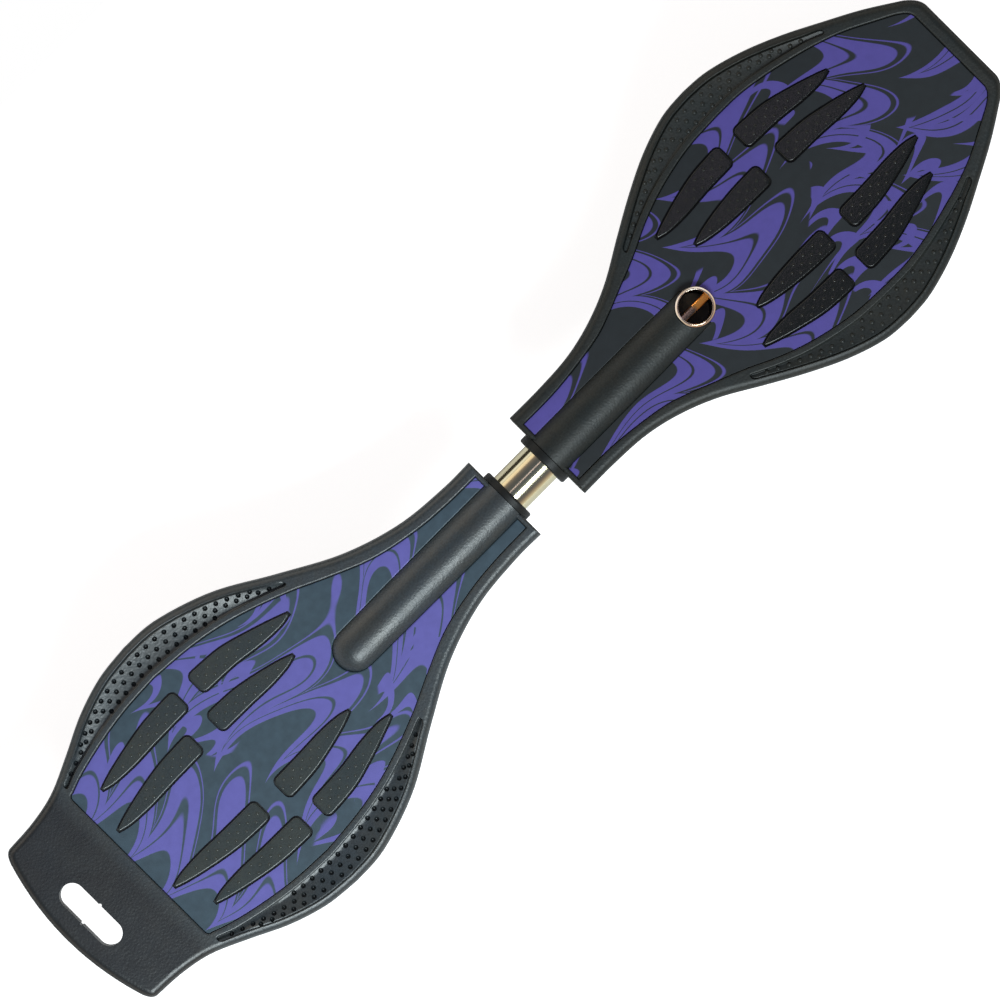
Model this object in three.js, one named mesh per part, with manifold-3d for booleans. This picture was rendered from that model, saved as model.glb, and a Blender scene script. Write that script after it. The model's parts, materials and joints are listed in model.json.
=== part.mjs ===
// Caster board: two moulded foot decks joined by a sprung torsion tube, each deck on one caster wheel
// whose kingpin leans towards the nose. The rider twists the decks against each other to drive it.
// Millimetres and degrees. +X to the nose, +Y to the left, +Z up, floor at zero under the middle.
import * as THREE from 'three';
import { mergeVertices } from 'three/addons/utils/BufferGeometryUtils.js';
import Module from 'manifold-3d';

const wasm = await Module();
wasm.setup();

// Clearances and the overrun that every cut takes past a face
const fitGap = 0.3;
const looseGap = 0.6;
const overrun = 5;
const mergeTolerance = 0.0005;

// Lengths along the board
const rearDeckLength = 424;
const frontDeckLength = 399.8;
const neckGap = 41.2;
const boardLength = rearDeckLength + neckGap + frontDeckLength;
const rearNeckX = rearDeckLength - boardLength / 2;
const frontNeckX = rearNeckX + neckGap;

// Deck section, measured down from the rim's top
const deckNeckDepth = 28;
const deckTipDepth = 13;
const deckKick = 18;
const rimAboveTube = 14.1;
const rimEdgeRadius = 6;
const neckEdge = 1.4;
const skirtWall = 4;
const skirtDraft = 2.5;
const skirtChamfer = 1.2;
const panelStep = 1.5;
const panelThickness = 2;
const deckSkin = 3.3;
const ribThickness = 2.6;
const ribPitch = 62;
const ribOffset = 44;

// Torsion tube, its bushes and the housing round it
const tubeDiameter = 31;
const tubeWall = 2.2;
const bushWall = 1.6;
const housingWall = 2.3;
const tubeInRearDeck = 103.5;
const tubeInFrontDeck = 117.3;
const rearRidgeLength = 161;
const frontRidgeLength = 143.3;
const collarRadius = 20.7;
const collarSpigot = 24;
const collarEdge = 2.6;
const rearCollarProud = 5.1;
const frontCollarProud = 6;
const innerBushLength = 22;
const snapRingWidth = 1.6;
const snapRingDepth = 1.1;
const snapRingMouth = 9;
const snapRingOffset = 5;
const tubeScrewRadius = 2.9;
const tubeScrewHeadRadius = 4.8;
const tubeScrewHeadHeight = 4;
const tubeScrewBossRadius = 8;
const tubeScrewBossDrop = 4;
const tubeScrewPlaceShares = [0.36, 0.78];

// Torsion rod, anchor block and lock sleeve
const rodDiameter = 6;
const rodKeyLength = 70;
const rodKeyShare = 0.92;
const sleeveDiameter = 28;
const sleeveBore = 23.7;
const sleeveProud = 0.6;
const sleeveEdge = 0.7;
const sleeveFloorWall = 2.6;
const sleeveBossWall = 3.5;
const sleevePlugHeight = 4;
const anchorLength = 28;
const anchorGap = 8;
const anchorScrewPlaceShares = [0.28, 0.72];
const anchorScrewReach = 7;

// Caster: kingpin lean, wheel and fork
const kingpinLean = 30;
const wheelDiameter = 76;
const wheelWidth = 24;
const tyreWall = 16;
const tyreShoulder = 7;
const forkRake = 28;
const tyreGap = 3.9;
const forkSideGap = 2.5;
const legThickness = 3;
const crownThickness = 3.5;
const crownFront = 17;
const crownBack = 25;
const crownCorner = 9;
const axleEyeRadius = 9;
const axleEyeEnd = 1.92 * Math.PI;
const legShoulder = 7;
const hubSeatWall = 3.2;
const hubWebRecess = 6;
const hubRimWall = 3;
const hubWindows = 5;
const hubWindowRadius = 2;
const bearingDiameter = 22;
const bearingWidth = 7;
const bearingBore = 8;
const bearingShieldDepth = 0.5;
const bearingRaceWall = 2;
const spacerWall = 2;
const axleDiameter = 7.4;
const axleHeadRadius = 6.6;
const axleHeadHeight = 5;
const axleNutHeight = 6.5;
const axleTail = 1.5;
const wheelTopGap = 14;
const mountPlateLength = 60;
const mountPlateWidth = 58;
const mountPlateThickness = 3;
const mountPlateCorner = 8;
const mountHoleInset = 8.5;
const thrustHeight = 6;
const thrustRadius = 18;
const thrustGroove = 0.8;
const kingpinDiameter = 9.4;
const kingpinHeadRadius = 8;
const kingpinHeadHeight = 6;
const kingpinNutHeight = 6;
const kingpinTail = 1;
const plateScrewDiameter = 4.8;
const plateScrewHeadRadius = 4.4;
const plateScrewHeadHeight = 3;
const plateScrewHeadEdge = 0.9;
const plateScrewReach = 16;
const pedestalMargin = 4;
const pedestalCorner = 9;
const pedestalDraft = 3;
const rearCasterAt = 246.8;
const frontCasterAt = 239;

// Deck outlines: half widths at the neck, the widest place and the tip. Shares run from neck to widest
// place and from widest place to the tip's corner
const rearOutline = {
  start: 0, neckHalf: 35, wideAt: 256.5, wideHalf: 113,
  cornerAt: 407, cornerHalf: 71, cornerShare: 1, end: rearDeckLength, endHalf: 62, bulge: 12,
  flareShares: [[0, 0], [0.1, 0], [0.25, 0.051], [0.41, 0.218], [0.57, 0.5], [0.73, 0.8], [0.89, 0.974],
    [1, 1]],
  taperShares: [[0, 1], [0.175, 0.93], [0.356, 0.726], [0.53, 0.424], [0.7, 0.15], [0.85, 0.035], [1, 0]],
};
const frontOutline = {
  start: 0, neckHalf: 36.5, wideAt: 242, wideHalf: 110,
  cornerAt: 391, cornerHalf: 47, cornerShare: 0.5, end: frontDeckLength, endHalf: 33, bulge: 0,
  flareShares: [[0, 0], [0.12, 0], [0.24, 0.025], [0.35, 0.11], [0.46, 0.257], [0.58, 0.485], [0.69, 0.687],
    [0.8, 0.86], [0.91, 0.975], [1, 1]],
  taperShares: [[0, 1], [0.14, 0.972], [0.32, 0.852], [0.5, 0.673], [0.68, 0.452], [0.84, 0.245], [1, 0]],
};

// Panel outlines, inside the rims
const rearPanelOutline = {
  start: 4, neckHalf: 24.5, wideAt: 256, wideHalf: 83.3,
  cornerAt: 350.5, cornerHalf: 67, cornerShare: 1, end: 354, endHalf: 63, bulge: 0,
  flareShares: [[0, 0], [0.11, 0.008], [0.22, 0.05], [0.35, 0.17], [0.47, 0.38], [0.585, 0.604], [0.73, 0.825],
    [0.86, 0.945], [1, 1]],
  taperShares: [[0, 1], [0.26, 0.927], [0.46, 0.787], [0.67, 0.56], [0.87, 0.27], [1, 0]],
};
const frontPanelOutline = {
  start: 4, neckHalf: 26.5, wideAt: 247.3, wideHalf: 81.5,
  cornerAt: 377.3, cornerHalf: 45, cornerShare: 0.5, end: 388.3, endHalf: 33, bulge: 0,
  flareShares: [[0, 0], [0.14, 0.009], [0.3, 0.1], [0.383, 0.209], [0.466, 0.355], [0.548, 0.5], [0.65, 0.709],
    [0.753, 0.864], [0.877, 0.973], [1, 1]],
  taperShares: [[0, 1], [0.154, 0.986], [0.308, 0.904], [0.462, 0.781], [0.615, 0.63], [0.77, 0.425],
    [0.92, 0.15], [1, 0]],
};
const flareSteps = 11;
const taperSteps = 8;
const cornerSteps = 3;
const tipSteps = 2;
const kickFacets = 6;

// Raised claw pads: each row has a claw to the tip and one to the neck, blunt ends facing across a gap
const rearClaws = [
  { at: rearCasterAt, gap: 14.5, middle: 59.9, width: 16.2,
    tipLength: 80.5, neckLength: 79, tipEnd: 54.5, neckEnd: 49.5 },
  { at: 258.3, gap: 18.5, middle: 32.1, width: 16.2,
    tipLength: 79, neckLength: 70.5, tipEnd: 27, neckEnd: 27 },
];
const frontClaws = [
  { at: frontCasterAt, gap: 14.5, middle: 58.8, width: 16,
    tipLength: 74.5, neckLength: 73, tipEnd: 50, neckEnd: 52 },
  { at: 250, gap: 17.5, middle: 31.1, width: 15.8,
    tipLength: 72.5, neckLength: 67, tipEnd: 25, neckEnd: 30 },
];
const clawShares = [[0, 0, 0.74], [0.08, 0, 1.01], [0.38, 0.16, 0.95], [0.66, 0.6, 0.75], [0.88, 0.91, 0.43],
  [1, 1, 0.1]];
const clawProud = 1.6;
const clawEdge = 0.8;
const clawGap = 0.8;
const clawSink = 1;

// Crescent channels in the side rims
const crescentDepth = 2;
const crescentOuterInset = 5.8;
const crescentInnerOffset = 5.2;
const crescentEndWidth = 4.4;
const crescentSteps = 10;
const crescentEndPower = 14;
const rearCrescent = { from: 147, to: 352 };
const frontCrescent = { from: 136, to: 338 };

// Carry slot through the tail
const slotFromTip = 24.2;
const slotWidth = 17.5;
const slotLength = 53.6;
const slotNotch = 1.1;

// Where the moulding's underside cavity stops short of the tip
const rearTipSolid = 60;
const frontTipSolid = 16;

// Facets round full circles
const largeSides = 32;
const boreSides = 20;
const bearingSides = 16;
const smallSides = 10;
const screwSides = 8;
const hexSides = 6;
const edgeSteps = 2;
const tyreShoulderSteps = 3;
const domeSteps = 3;

// Sizes worked out from those above
const tubeRadius = tubeDiameter / 2;
const bushRadius = tubeRadius + fitGap + bushWall;
const bushBoreRadius = bushRadius + fitGap;
const housingRadius = bushBoreRadius + housingWall;
const wheelRadius = wheelDiameter / 2;
const leanAngle = THREE.MathUtils.degToRad(kingpinLean);
const thrustTop = -mountPlateThickness - fitGap;
const crownTop = thrustTop - thrustHeight - fitGap;
const crownBottom = crownTop - crownThickness;
const forkDrop = wheelRadius + tyreGap - crownBottom;
const plateHeight = wheelRadius + forkDrop * Math.cos(leanAngle) - forkRake * Math.sin(leanAngle);
const tubeHeight = wheelDiameter + wheelTopGap + deckNeckDepth - rimAboveTube;
const panelTop = rimAboveTube - panelStep;
const recessFloor = panelTop - panelThickness - fitGap;
const cavityTop = recessFloor - deckSkin;
const rodRadius = rodDiameter / 2;
const sleeveRadius = sleeveDiameter / 2;
const sleeveFloor = -housingRadius + sleeveFloorWall;

// Finishes
const finishes = {
  deck: { color: 0x2d3032, roughness: 0.55, metalness: 0 },
  rearPanel: { color: 0x3e4e52, roughness: 0.6, metalness: 0 },
  frontPanel: { color: 0x242727, roughness: 0.6, metalness: 0 },
  chrome: { color: 0xe6e4df, roughness: 0.08, metalness: 1 },
  steel: { color: 0xa6a8a9, roughness: 0.35, metalness: 1 },
  darkSteel: { color: 0x55585a, roughness: 0.45, metalness: 1 },
  nylon: { color: 0x1c1e1f, roughness: 0.5, metalness: 0 },
  tyre: { color: 0x17181a, roughness: 0.5, metalness: 0 },
  hub: { color: 0x3a3d40, roughness: 0.5, metalness: 0 },
};

// Solids and meshes
function welded(geometry) {
  const bare = new THREE.BufferGeometry();
  bare.setAttribute('position', geometry.getAttribute('position'));
  bare.setIndex(geometry.getIndex());
  const merged = mergeVertices(bare, mergeTolerance);
  const corners = merged.getIndex().array;
  const kept = [];
  for (let i = 0; i < corners.length; i += 3) {
    const [a, b, c] = corners.slice(i, i + 3);
    if (a !== b && b !== c && c !== a) kept.push(a, b, c);
  }
  merged.setIndex(kept);
  return volumeOf(merged) < 0 ? flipped(merged) : merged;
}

function volumeOf(geometry) {
  const place = geometry.getAttribute('position');
  const corners = geometry.getIndex().array;
  const [a, b, c] = [new THREE.Vector3(), new THREE.Vector3(), new THREE.Vector3()];
  let volume = 0;
  for (let i = 0; i < corners.length; i += 3) {
    a.fromBufferAttribute(place, corners[i]);
    b.fromBufferAttribute(place, corners[i + 1]);
    c.fromBufferAttribute(place, corners[i + 2]);
    volume += a.dot(b.cross(c)) / 6;
  }
  return volume;
}

function flipped(geometry) {
  const corners = Array.from(geometry.getIndex().array);
  for (let i = 0; i < corners.length; i += 3) [corners[i], corners[i + 1]] = [corners[i + 1], corners[i]];
  geometry.setIndex(corners);
  return geometry;
}

function solid(geometry) {
  const closed = welded(geometry);
  const mesh = new wasm.Mesh({
    numProp: 3,
    vertProperties: new Float32Array(closed.getAttribute('position').array),
    triVerts: new Uint32Array(closed.getIndex().array),
  });
  return new wasm.Manifold(mesh);
}

function join(...geometries) {
  return geometries.map(solid).reduce((whole, next) => whole.add(next));
}

function cut(body, ...geometries) {
  return geometries.map(solid).reduce((whole, next) => whole.subtract(next), body);
}

function shape(body) {
  const mesh = body.getMesh();
  const geometry = new THREE.BufferGeometry();
  geometry.setAttribute('position', new THREE.BufferAttribute(new Float32Array(mesh.vertProperties), 3));
  geometry.setIndex(Array.from(mesh.triVerts));
  return geometry;
}

function piece(name, geometry, finish) {
  const mesh = new THREE.Mesh(welded(geometry), new THREE.MeshStandardMaterial(finishes[finish]));
  mesh.name = name;
  return mesh;
}

const quarterTurn = steps => Array.from({ length: steps + 1 }, (_, i) => Math.PI / 2 * i / steps);

// Round and boxed forms. A turned form is a profile of [radius, distance along its axis]
const alongX = geometry => geometry.rotateZ(-Math.PI / 2);
const alongZ = geometry => geometry.rotateX(Math.PI / 2);

function turned(profile, sides) {
  return new THREE.LatheGeometry(profile.map(([radius, along]) => new THREE.Vector2(radius, along)), sides);
}

function bar(radius, from, to, sides) {
  return turned([[0, from], [radius, from], [radius, to], [0, to]], sides);
}

function sleeve(inner, outer, from, to, sides) {
  return turned([[inner, from], [outer, from], [outer, to], [inner, to], [inner, from]], sides);
}

function box(x0, x1, y0, y1, z0, z1) {
  const geometry = new THREE.BoxGeometry(x1 - x0, y1 - y0, z1 - z0);
  return geometry.translate((x0 + x1) / 2, (y0 + y1) / 2, (z0 + z1) / 2);
}

function roundedRectangle(x0, x1, half, radius) {
  const rectangle = new THREE.Shape();
  rectangle.moveTo(x0 + radius, -half);
  rectangle.absarc(x1 - radius, -half + radius, radius, -Math.PI / 2, 0);
  rectangle.absarc(x1 - radius, half - radius, radius, 0, Math.PI / 2);
  rectangle.absarc(x0 + radius, half - radius, radius, Math.PI / 2, Math.PI);
  rectangle.absarc(x0 + radius, -half + radius, radius, Math.PI, 1.5 * Math.PI);
  return rectangle;
}

function slab(outline, from, to, arcSteps) {
  const depth = to - from;
  const geometry = new THREE.ExtrudeGeometry(outline, { depth, bevelEnabled: false, curveSegments: arcSteps });
  return geometry.translate(0, 0, from);
}

// Plan outlines: two edges, high in Y and low in Y, with points in step along the deck
function symmetric(high) {
  return { high, low: high.map(p => new THREE.Vector2(p.x, -p.y)) };
}

function splineThrough(points, steps) {
  return new THREE.SplineCurve(points).getPoints(steps);
}

function deckOutline(o) {
  const flare = o.flareShares.map(([along, out]) => new THREE.Vector2(
    o.start + along * (o.wideAt - o.start), o.neckHalf + out * (o.wideHalf - o.neckHalf)));
  const taper = o.taperShares.map(([along, out]) => new THREE.Vector2(
    o.wideAt + along * (o.cornerAt - o.wideAt), o.cornerHalf + out * (o.wideHalf - o.cornerHalf)));
  const last = o.endHalf / (tipSteps + 1);
  const tipX = y => o.end - o.bulge * (y * y - last * last) / (o.cornerHalf * o.cornerHalf);
  const corner = new THREE.QuadraticBezierCurve(
    new THREE.Vector2(o.cornerAt, o.cornerHalf),
    new THREE.Vector2(tipX(o.cornerHalf), o.endHalf + o.cornerShare * (o.cornerHalf - o.endHalf)),
    new THREE.Vector2(tipX(o.endHalf), o.endHalf));
  const tip = Array.from({ length: tipSteps }, (_, i) => o.endHalf * (tipSteps - i) / (tipSteps + 1));
  return symmetric([
    ...splineThrough(flare, flareSteps),
    ...splineThrough(taper, taperSteps).slice(1),
    ...corner.getPoints(cornerSteps).slice(1),
    ...(o.bulge > 0 ? tip.map(y => new THREE.Vector2(tipX(y), y)) : []),
  ]);
}

function halfWidthAt(outline, x) {
  const points = outline.high;
  const next = Math.max(1, points.findIndex(p => p.x >= x));
  const [a, b] = [points[next - 1], points[next]];
  return a.y + (b.y - a.y) * (x - a.x) / (b.x - a.x);
}

function clipped(outline, end) {
  const kept = outline.high.filter(p => p.x < end);
  return symmetric([...kept, new THREE.Vector2(end, halfWidthAt(outline, end))]);
}

// The outline moved inward. The neck edge, which closes the loop, can move by a distance of its own
function inset(outline, distance, neckDistance = distance) {
  const loop = [...outline.high, ...[...outline.low].reverse()];
  const reach = loop.map((_, i) => (i + 1 < loop.length ? distance : neckDistance));
  const inward = loop.map((p, i) => {
    const q = loop[(i + 1) % loop.length];
    return new THREE.Vector2(q.y - p.y, p.x - q.x).normalize();
  });
  const moved = loop.map((p, i) => {
    const before = (i + loop.length - 1) % loop.length;
    const [a, b, near, far] = [inward[before], inward[i], reach[before], reach[i]];
    const cosine = a.dot(b);
    if (near === far) return p.clone().addScaledVector(a.clone().add(b), near / (1 + cosine));
    const spread = 1 - cosine * cosine;
    return p.clone().addScaledVector(a, (near - far * cosine) / spread)
      .addScaledVector(b, (far - near * cosine) / spread);
  });
  const count = outline.high.length;
  return { high: moved.slice(0, count), low: moved.slice(count).reverse() };
}

// A closed body through level rings: an inset of the outline, a height over x, and any other inset at the neck
function plate(outline, levels) {
  const count = outline.high.length;
  const places = [];
  for (const [distance, height, neckDistance] of levels) {
    const ring = inset(outline, distance, neckDistance);
    for (const p of [...ring.high, ...ring.low.reverse()]) places.push(p.x, p.y, height(p.x));
  }
  const faces = [];
  const size = 2 * count;
  const quad = (a, b, c, d) => faces.push(a, b, c, a, c, d);
  for (let level = 0; level + 1 < levels.length; level += 1) {
    for (let i = 0; i < size; i += 1) {
      const next = (i + 1) % size;
      const [low, high] = [level * size, (level + 1) * size];
      quad(low + next, low + i, high + i, high + next);
    }
  }
  const top = (levels.length - 1) * size;
  for (let i = 0; i + 1 < count; i += 1) {
    quad(i, i + 1, size - 2 - i, size - 1 - i);
    quad(top + i + 1, top + i, top + size - 1 - i, top + size - 2 - i);
  }
  const geometry = new THREE.BufferGeometry();
  geometry.setAttribute('position', new THREE.BufferAttribute(new Float32Array(places), 3));
  geometry.setIndex(faces);
  return geometry;
}

// A deck's own frame: origin on the tube's axis at the neck face, +X to the tip. Heights follow the kick
const kickAt = share => deckKick * share ** 3;
const depthAt = share => deckNeckDepth + (deckTipDepth - deckNeckDepth) * share ** 2;

function facetedAlong(deck, curve) {
  return x => {
    const place = x / deck.length * kickFacets;
    const facet = Math.min(kickFacets - 1, Math.max(0, Math.floor(place)));
    const [near, far] = [curve(facet / kickFacets), curve((facet + 1) / kickFacets)];
    return near + (far - near) * (place - facet);
  };
}

function over(deck, height) {
  return facetedAlong(deck, share => kickAt(share) + height);
}

function underside(deck, lift) {
  return facetedAlong(deck, share => kickAt(share) + rimAboveTube - depthAt(share) + lift);
}

function deckBlank(deck) {
  const side = rimAboveTube - rimEdgeRadius;
  const edge = quarterTurn(edgeSteps).map(angle => [
    rimEdgeRadius * (1 - Math.cos(angle)), over(deck, side + rimEdgeRadius * Math.sin(angle)),
    Math.max(0, neckEdge - rimEdgeRadius * (1 - Math.sin(angle)))]);
  return plate(deck.outline, [
    [skirtDraft + skirtChamfer, underside(deck, 0), skirtChamfer],
    [skirtDraft, underside(deck, skirtChamfer), 0], ...edge]);
}

function deckCavity(deck) {
  const outline = clipped(deck.outline, deck.length - deck.tipSolid);
  const wall = skirtWall + skirtDraft;
  return plate(outline, [[wall, underside(deck, -overrun)], [wall, over(deck, cavityTop)]]);
}

function panelRecess(deck) {
  return plate(deck.panel, [[-fitGap, over(deck, recessFloor)], [-fitGap, over(deck, rimAboveTube + overrun)]]);
}

function ribLattice(deck) {
  const [low, high] = [-deckNeckDepth - housingRadius, deckKick + rimAboveTube];
  const reach = deck.outlineSizes.wideHalf;
  const across = Math.floor((deck.length - deck.tipSolid) / ribPitch);
  const ribs = [];
  for (let i = 1; i <= across; i += 1) {
    const x = i * ribPitch;
    ribs.push(box(x - ribThickness / 2, x + ribThickness / 2, -reach, reach, low, high));
  }
  for (const y of [-ribOffset, ribOffset]) {
    ribs.push(box(0, deck.length, y - ribThickness / 2, y + ribThickness / 2, low, high));
  }
  return join(...ribs);
}

// Tube housing: a round-backed boss from the neck, domed at the rear deck's end
function tubeHousing(deck, start, gap) {
  const radius = housingRadius + gap;
  if (!deck.domed) return alongX(bar(radius, start, deck.ridgeLength, boreSides));
  const centre = deck.ridgeLength - Math.sqrt(housingRadius ** 2 - panelTop ** 2);
  const dome = quarterTurn(domeSteps).slice(0, domeSteps)
    .map(angle => [radius * Math.cos(angle), centre + radius * Math.sin(angle)]);
  return alongX(turned([[0, start], [radius, start], ...dome, [0, centre + radius]], boreSides));
}

function pedestalPlan(deck) {
  const half = mountPlateLength / 2 * Math.cos(leanAngle) + pedestalMargin;
  const side = mountPlateWidth / 2 + pedestalMargin;
  const [x0, x1] = [deck.casterAt - half, deck.casterAt + half];
  const corner = (x, start) => quarterTurn(cornerSteps).map(angle => new THREE.Vector2(
    x + pedestalCorner * Math.cos(start - angle), side - pedestalCorner * (1 - Math.sin(start - angle))));
  return symmetric([...corner(x0 + pedestalCorner, Math.PI), ...corner(x1 - pedestalCorner, Math.PI / 2)]);
}

function casterPedestal(deck) {
  const top = over(deck, cavityTop + deckSkin / 2);
  return plate(pedestalPlan(deck), [[0, () => -tubeHeight], [-pedestalDraft, top]]);
}

// What the caster needs from its deck: the plane that the mount plate seats on, and the bolt holes
function casterPlane(deck) {
  const reach = deck.length;
  return box(-reach, reach, -reach, reach, -reach, fitGap).applyMatrix4(deck.casterMatrix);
}

function casterBores(deck) {
  const head = alongZ(bar(kingpinHeadRadius + looseGap, -overrun, kingpinHeadHeight + looseGap, smallSides));
  const screws = mountHolePlaces().map(([x, y]) => alongZ(
    bar(plateScrewDiameter / 2 + fitGap, -overrun, plateScrewReach + fitGap, screwSides)).translate(x, y, 0));
  return [head, ...screws].map(geometry => geometry.applyMatrix4(deck.casterMatrix));
}

function clawOutline(claw, blunt, length, end) {
  const rows = clawShares.map(([along, drift, half]) => {
    const middle = claw.middle + drift * (end - claw.middle);
    const reach = half * claw.width / 2;
    const x = blunt + along * length;
    return [new THREE.Vector2(x, middle + reach), new THREE.Vector2(x, middle - reach)];
  });
  if (length < 0) rows.reverse();
  return { high: rows.map(row => row[0]), low: rows.map(row => row[1]) };
}

function clawOutlines(deck) {
  return deck.claws.flatMap(claw => {
    const pair = [
      clawOutline(claw, claw.at + claw.gap / 2, claw.tipLength, claw.tipEnd),
      clawOutline(claw, claw.at - claw.gap / 2, -claw.neckLength, claw.neckEnd),
    ];
    return [...pair, ...pair.map(mirrored)];
  });
}

function mirrored(outline) {
  const flip = p => new THREE.Vector2(p.x, -p.y);
  return { high: outline.low.map(flip), low: outline.high.map(flip) };
}

function clawPads(deck) {
  const top = panelTop + clawProud;
  return clawOutlines(deck).map(outline => plate(outline, [
    [0, over(deck, recessFloor - clawSink)], [clawEdge, over(deck, top)]]));
}

function clawOpenings(deck) {
  return clawOutlines(deck).map(outline => plate(outline, [
    [-clawGap, over(deck, recessFloor - clawSink)], [-clawGap, over(deck, rimAboveTube + overrun)]]));
}

function crescent(deck) {
  const outer = inset(deck.outline, crescentOuterInset);
  const inner = inset(deck.panel, -crescentInnerOffset);
  const { from, to } = deck.crescent;
  const [high, low] = [[], []];
  for (let i = 1; i < crescentSteps; i += 1) {
    const swing = Math.cos(Math.PI * i / crescentSteps);
    const x = (from + to) / 2 - swing * (to - from) / 2;
    const [a, b] = [halfWidthAt(outer, x), halfWidthAt(inner, x)];
    const full = Math.max(a - b, crescentEndWidth) / 2;
    const width = full * Math.sqrt(1 - Math.abs(swing) ** crescentEndPower);
    high.push(new THREE.Vector2(x, (a + b) / 2 + width));
    low.push(new THREE.Vector2(x, (a + b) / 2 - width));
  }
  return { high, low };
}

function crescentCuts(deck) {
  const channel = crescent(deck);
  const levels = [
    [0, over(deck, rimAboveTube - crescentDepth)], [-crescentDepth, over(deck, rimAboveTube + crescentDepth)]];
  return [channel, mirrored(channel)].map(outline => plate(outline, levels));
}

function carrySlot(deck) {
  const [half, reach] = [slotWidth / 2, slotLength / 2 - slotWidth / 2];
  const slot = new THREE.Shape();
  slot.absarc(0, reach, half, 0, Math.PI);
  slot.absarc(0, -reach, half, Math.PI, 2 * Math.PI);
  const stadium = slab(slot, -deckNeckDepth, deckKick + rimAboveTube + overrun, smallSides / 2);
  const notch = alongZ(bar(slotNotch, -deckNeckDepth, deckKick + rimAboveTube + overrun, screwSides));
  return [stadium, notch.clone().translate(half, 0, 0), notch.translate(-half, 0, 0)]
    .map(geometry => geometry.translate(deck.length - slotFromTip, 0, 0));
}

function tubeBore(deck) {
  return alongX(bar(bushBoreRadius, -overrun, deck.boreDepth, boreSides));
}

// Screws that come up from below, through a boss on the housing
function screwPlaces(from, length, places) {
  return places.map(share => from + share * length);
}

function screwBosses(places) {
  const low = -housingRadius - tubeScrewBossDrop;
  return places.map(x => alongZ(bar(tubeScrewBossRadius, low, -bushBoreRadius, smallSides)).translate(x, 0, 0));
}

function screwBores(places) {
  const low = -housingRadius - tubeScrewBossDrop - overrun;
  return places.map(x => alongZ(bar(tubeScrewRadius + fitGap, low, 0, screwSides)).translate(x, 0, 0));
}

function bossScrew(reach) {
  const seat = -housingRadius - tubeScrewBossDrop - fitGap;
  return alongZ(turned([[0, seat - tubeScrewHeadHeight], [tubeScrewHeadRadius, seat - tubeScrewHeadHeight],
    [tubeScrewHeadRadius, seat], [tubeScrewRadius, seat], [tubeScrewRadius, reach], [0, reach]], screwSides));
}

function deckSolid(deck) {
  const housing = tubeHousing(deck, 0, 0);
  const pedestal = solid(casterPedestal(deck));
  const kept = ribLattice(deck).add(solid(housing)).add(pedestal);
  const hollow = solid(deckCavity(deck)).subtract(kept);
  const shell = solid(deckBlank(deck)).subtract(hollow).subtract(solid(panelRecess(deck)));
  const bossed = [housing, ...clawPads(deck), ...deck.bosses].map(solid).reduce((a, b) => a.add(b), shell);
  const seated = bossed.add(cut(pedestal, casterPlane(deck)));
  return cut(seated, ...casterBores(deck), ...crescentCuts(deck), ...deck.cuts);
}

function panelSolid(deck) {
  const blank = plate(deck.panel, [[0, over(deck, recessFloor + fitGap)], [0, over(deck, panelTop)]]);
  return cut(solid(blank), ...deck.panelCuts, tubeHousing(deck, -overrun, fitGap), ...clawOpenings(deck));
}

// Where the front deck takes the lock sleeve and the rod that runs to it
function sleeveBoss() {
  return alongZ(bar(sleeveRadius + fitGap + sleeveBossWall, -housingRadius, recessFloor, largeSides))
    .translate(frontRidgeLength, 0, 0);
}

function sleeveHole() {
  return alongZ(bar(sleeveRadius + fitGap, sleeveFloor, housingRadius + overrun, largeSides))
    .translate(frontRidgeLength, 0, 0);
}

function rodPassage() {
  const half = rodRadius + fitGap;
  return box(0, frontRidgeLength + sleeveRadius, -half, half, -half, half);
}

// The mechanism's pieces, in the frame of the deck that holds them
function neckCollar(proud) {
  const inner = tubeRadius + fitGap;
  const edge = quarterTurn(edgeSteps).map(angle => [
    collarRadius - collarEdge * (1 - Math.sin(angle)), -proud + collarEdge * (1 - Math.cos(angle))]);
  return alongX(turned([
    [inner, -proud], ...edge, [collarRadius, -fitGap], [bushRadius, -fitGap], [bushRadius, collarSpigot],
    [inner, collarSpigot], [inner, -proud]], boreSides));
}

function innerBush() {
  const end = tubeInRearDeck - snapRingOffset - fitGap;
  return alongX(sleeve(tubeRadius + fitGap, bushRadius, end - innerBushLength, end, boreSides));
}

function snapRing() {
  const from = tubeInRearDeck - snapRingOffset;
  const inner = tubeRadius - snapRingDepth + fitGap;
  const ring = alongX(sleeve(inner, bushRadius, from, from + snapRingWidth, boreSides));
  const mouth = box(from - overrun, from + overrun, -snapRingMouth / 2, snapRingMouth / 2, -housingRadius, 0);
  return shape(cut(solid(ring), mouth));
}

function torsionTube() {
  const [inner, groove] = [tubeRadius - tubeWall, tubeRadius - snapRingDepth];
  const end = neckGap + tubeInFrontDeck;
  const far = -tubeInRearDeck + snapRingOffset + fitGap;
  const near = far - snapRingWidth - looseGap;
  const tube = alongX(turned([
    [inner, -tubeInRearDeck], [tubeRadius, -tubeInRearDeck], [tubeRadius, near], [groove, near],
    [groove, far], [tubeRadius, far], [tubeRadius, end], [inner, end], [inner, -tubeInRearDeck]], boreSides));
  const holes = tubeScrewPlaces().map(x => alongZ(bar(tubeScrewRadius + fitGap, -housingRadius, 0, screwSides))
    .translate(neckGap + x, 0, 0));
  return shape(cut(solid(tube), ...holes));
}

function tubeScrewPlaces() {
  return screwPlaces(0, tubeInFrontDeck, tubeScrewPlaceShares);
}

function anchorPlaces() {
  return screwPlaces(tubeInRearDeck + anchorGap, anchorLength, anchorScrewPlaceShares);
}

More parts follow.
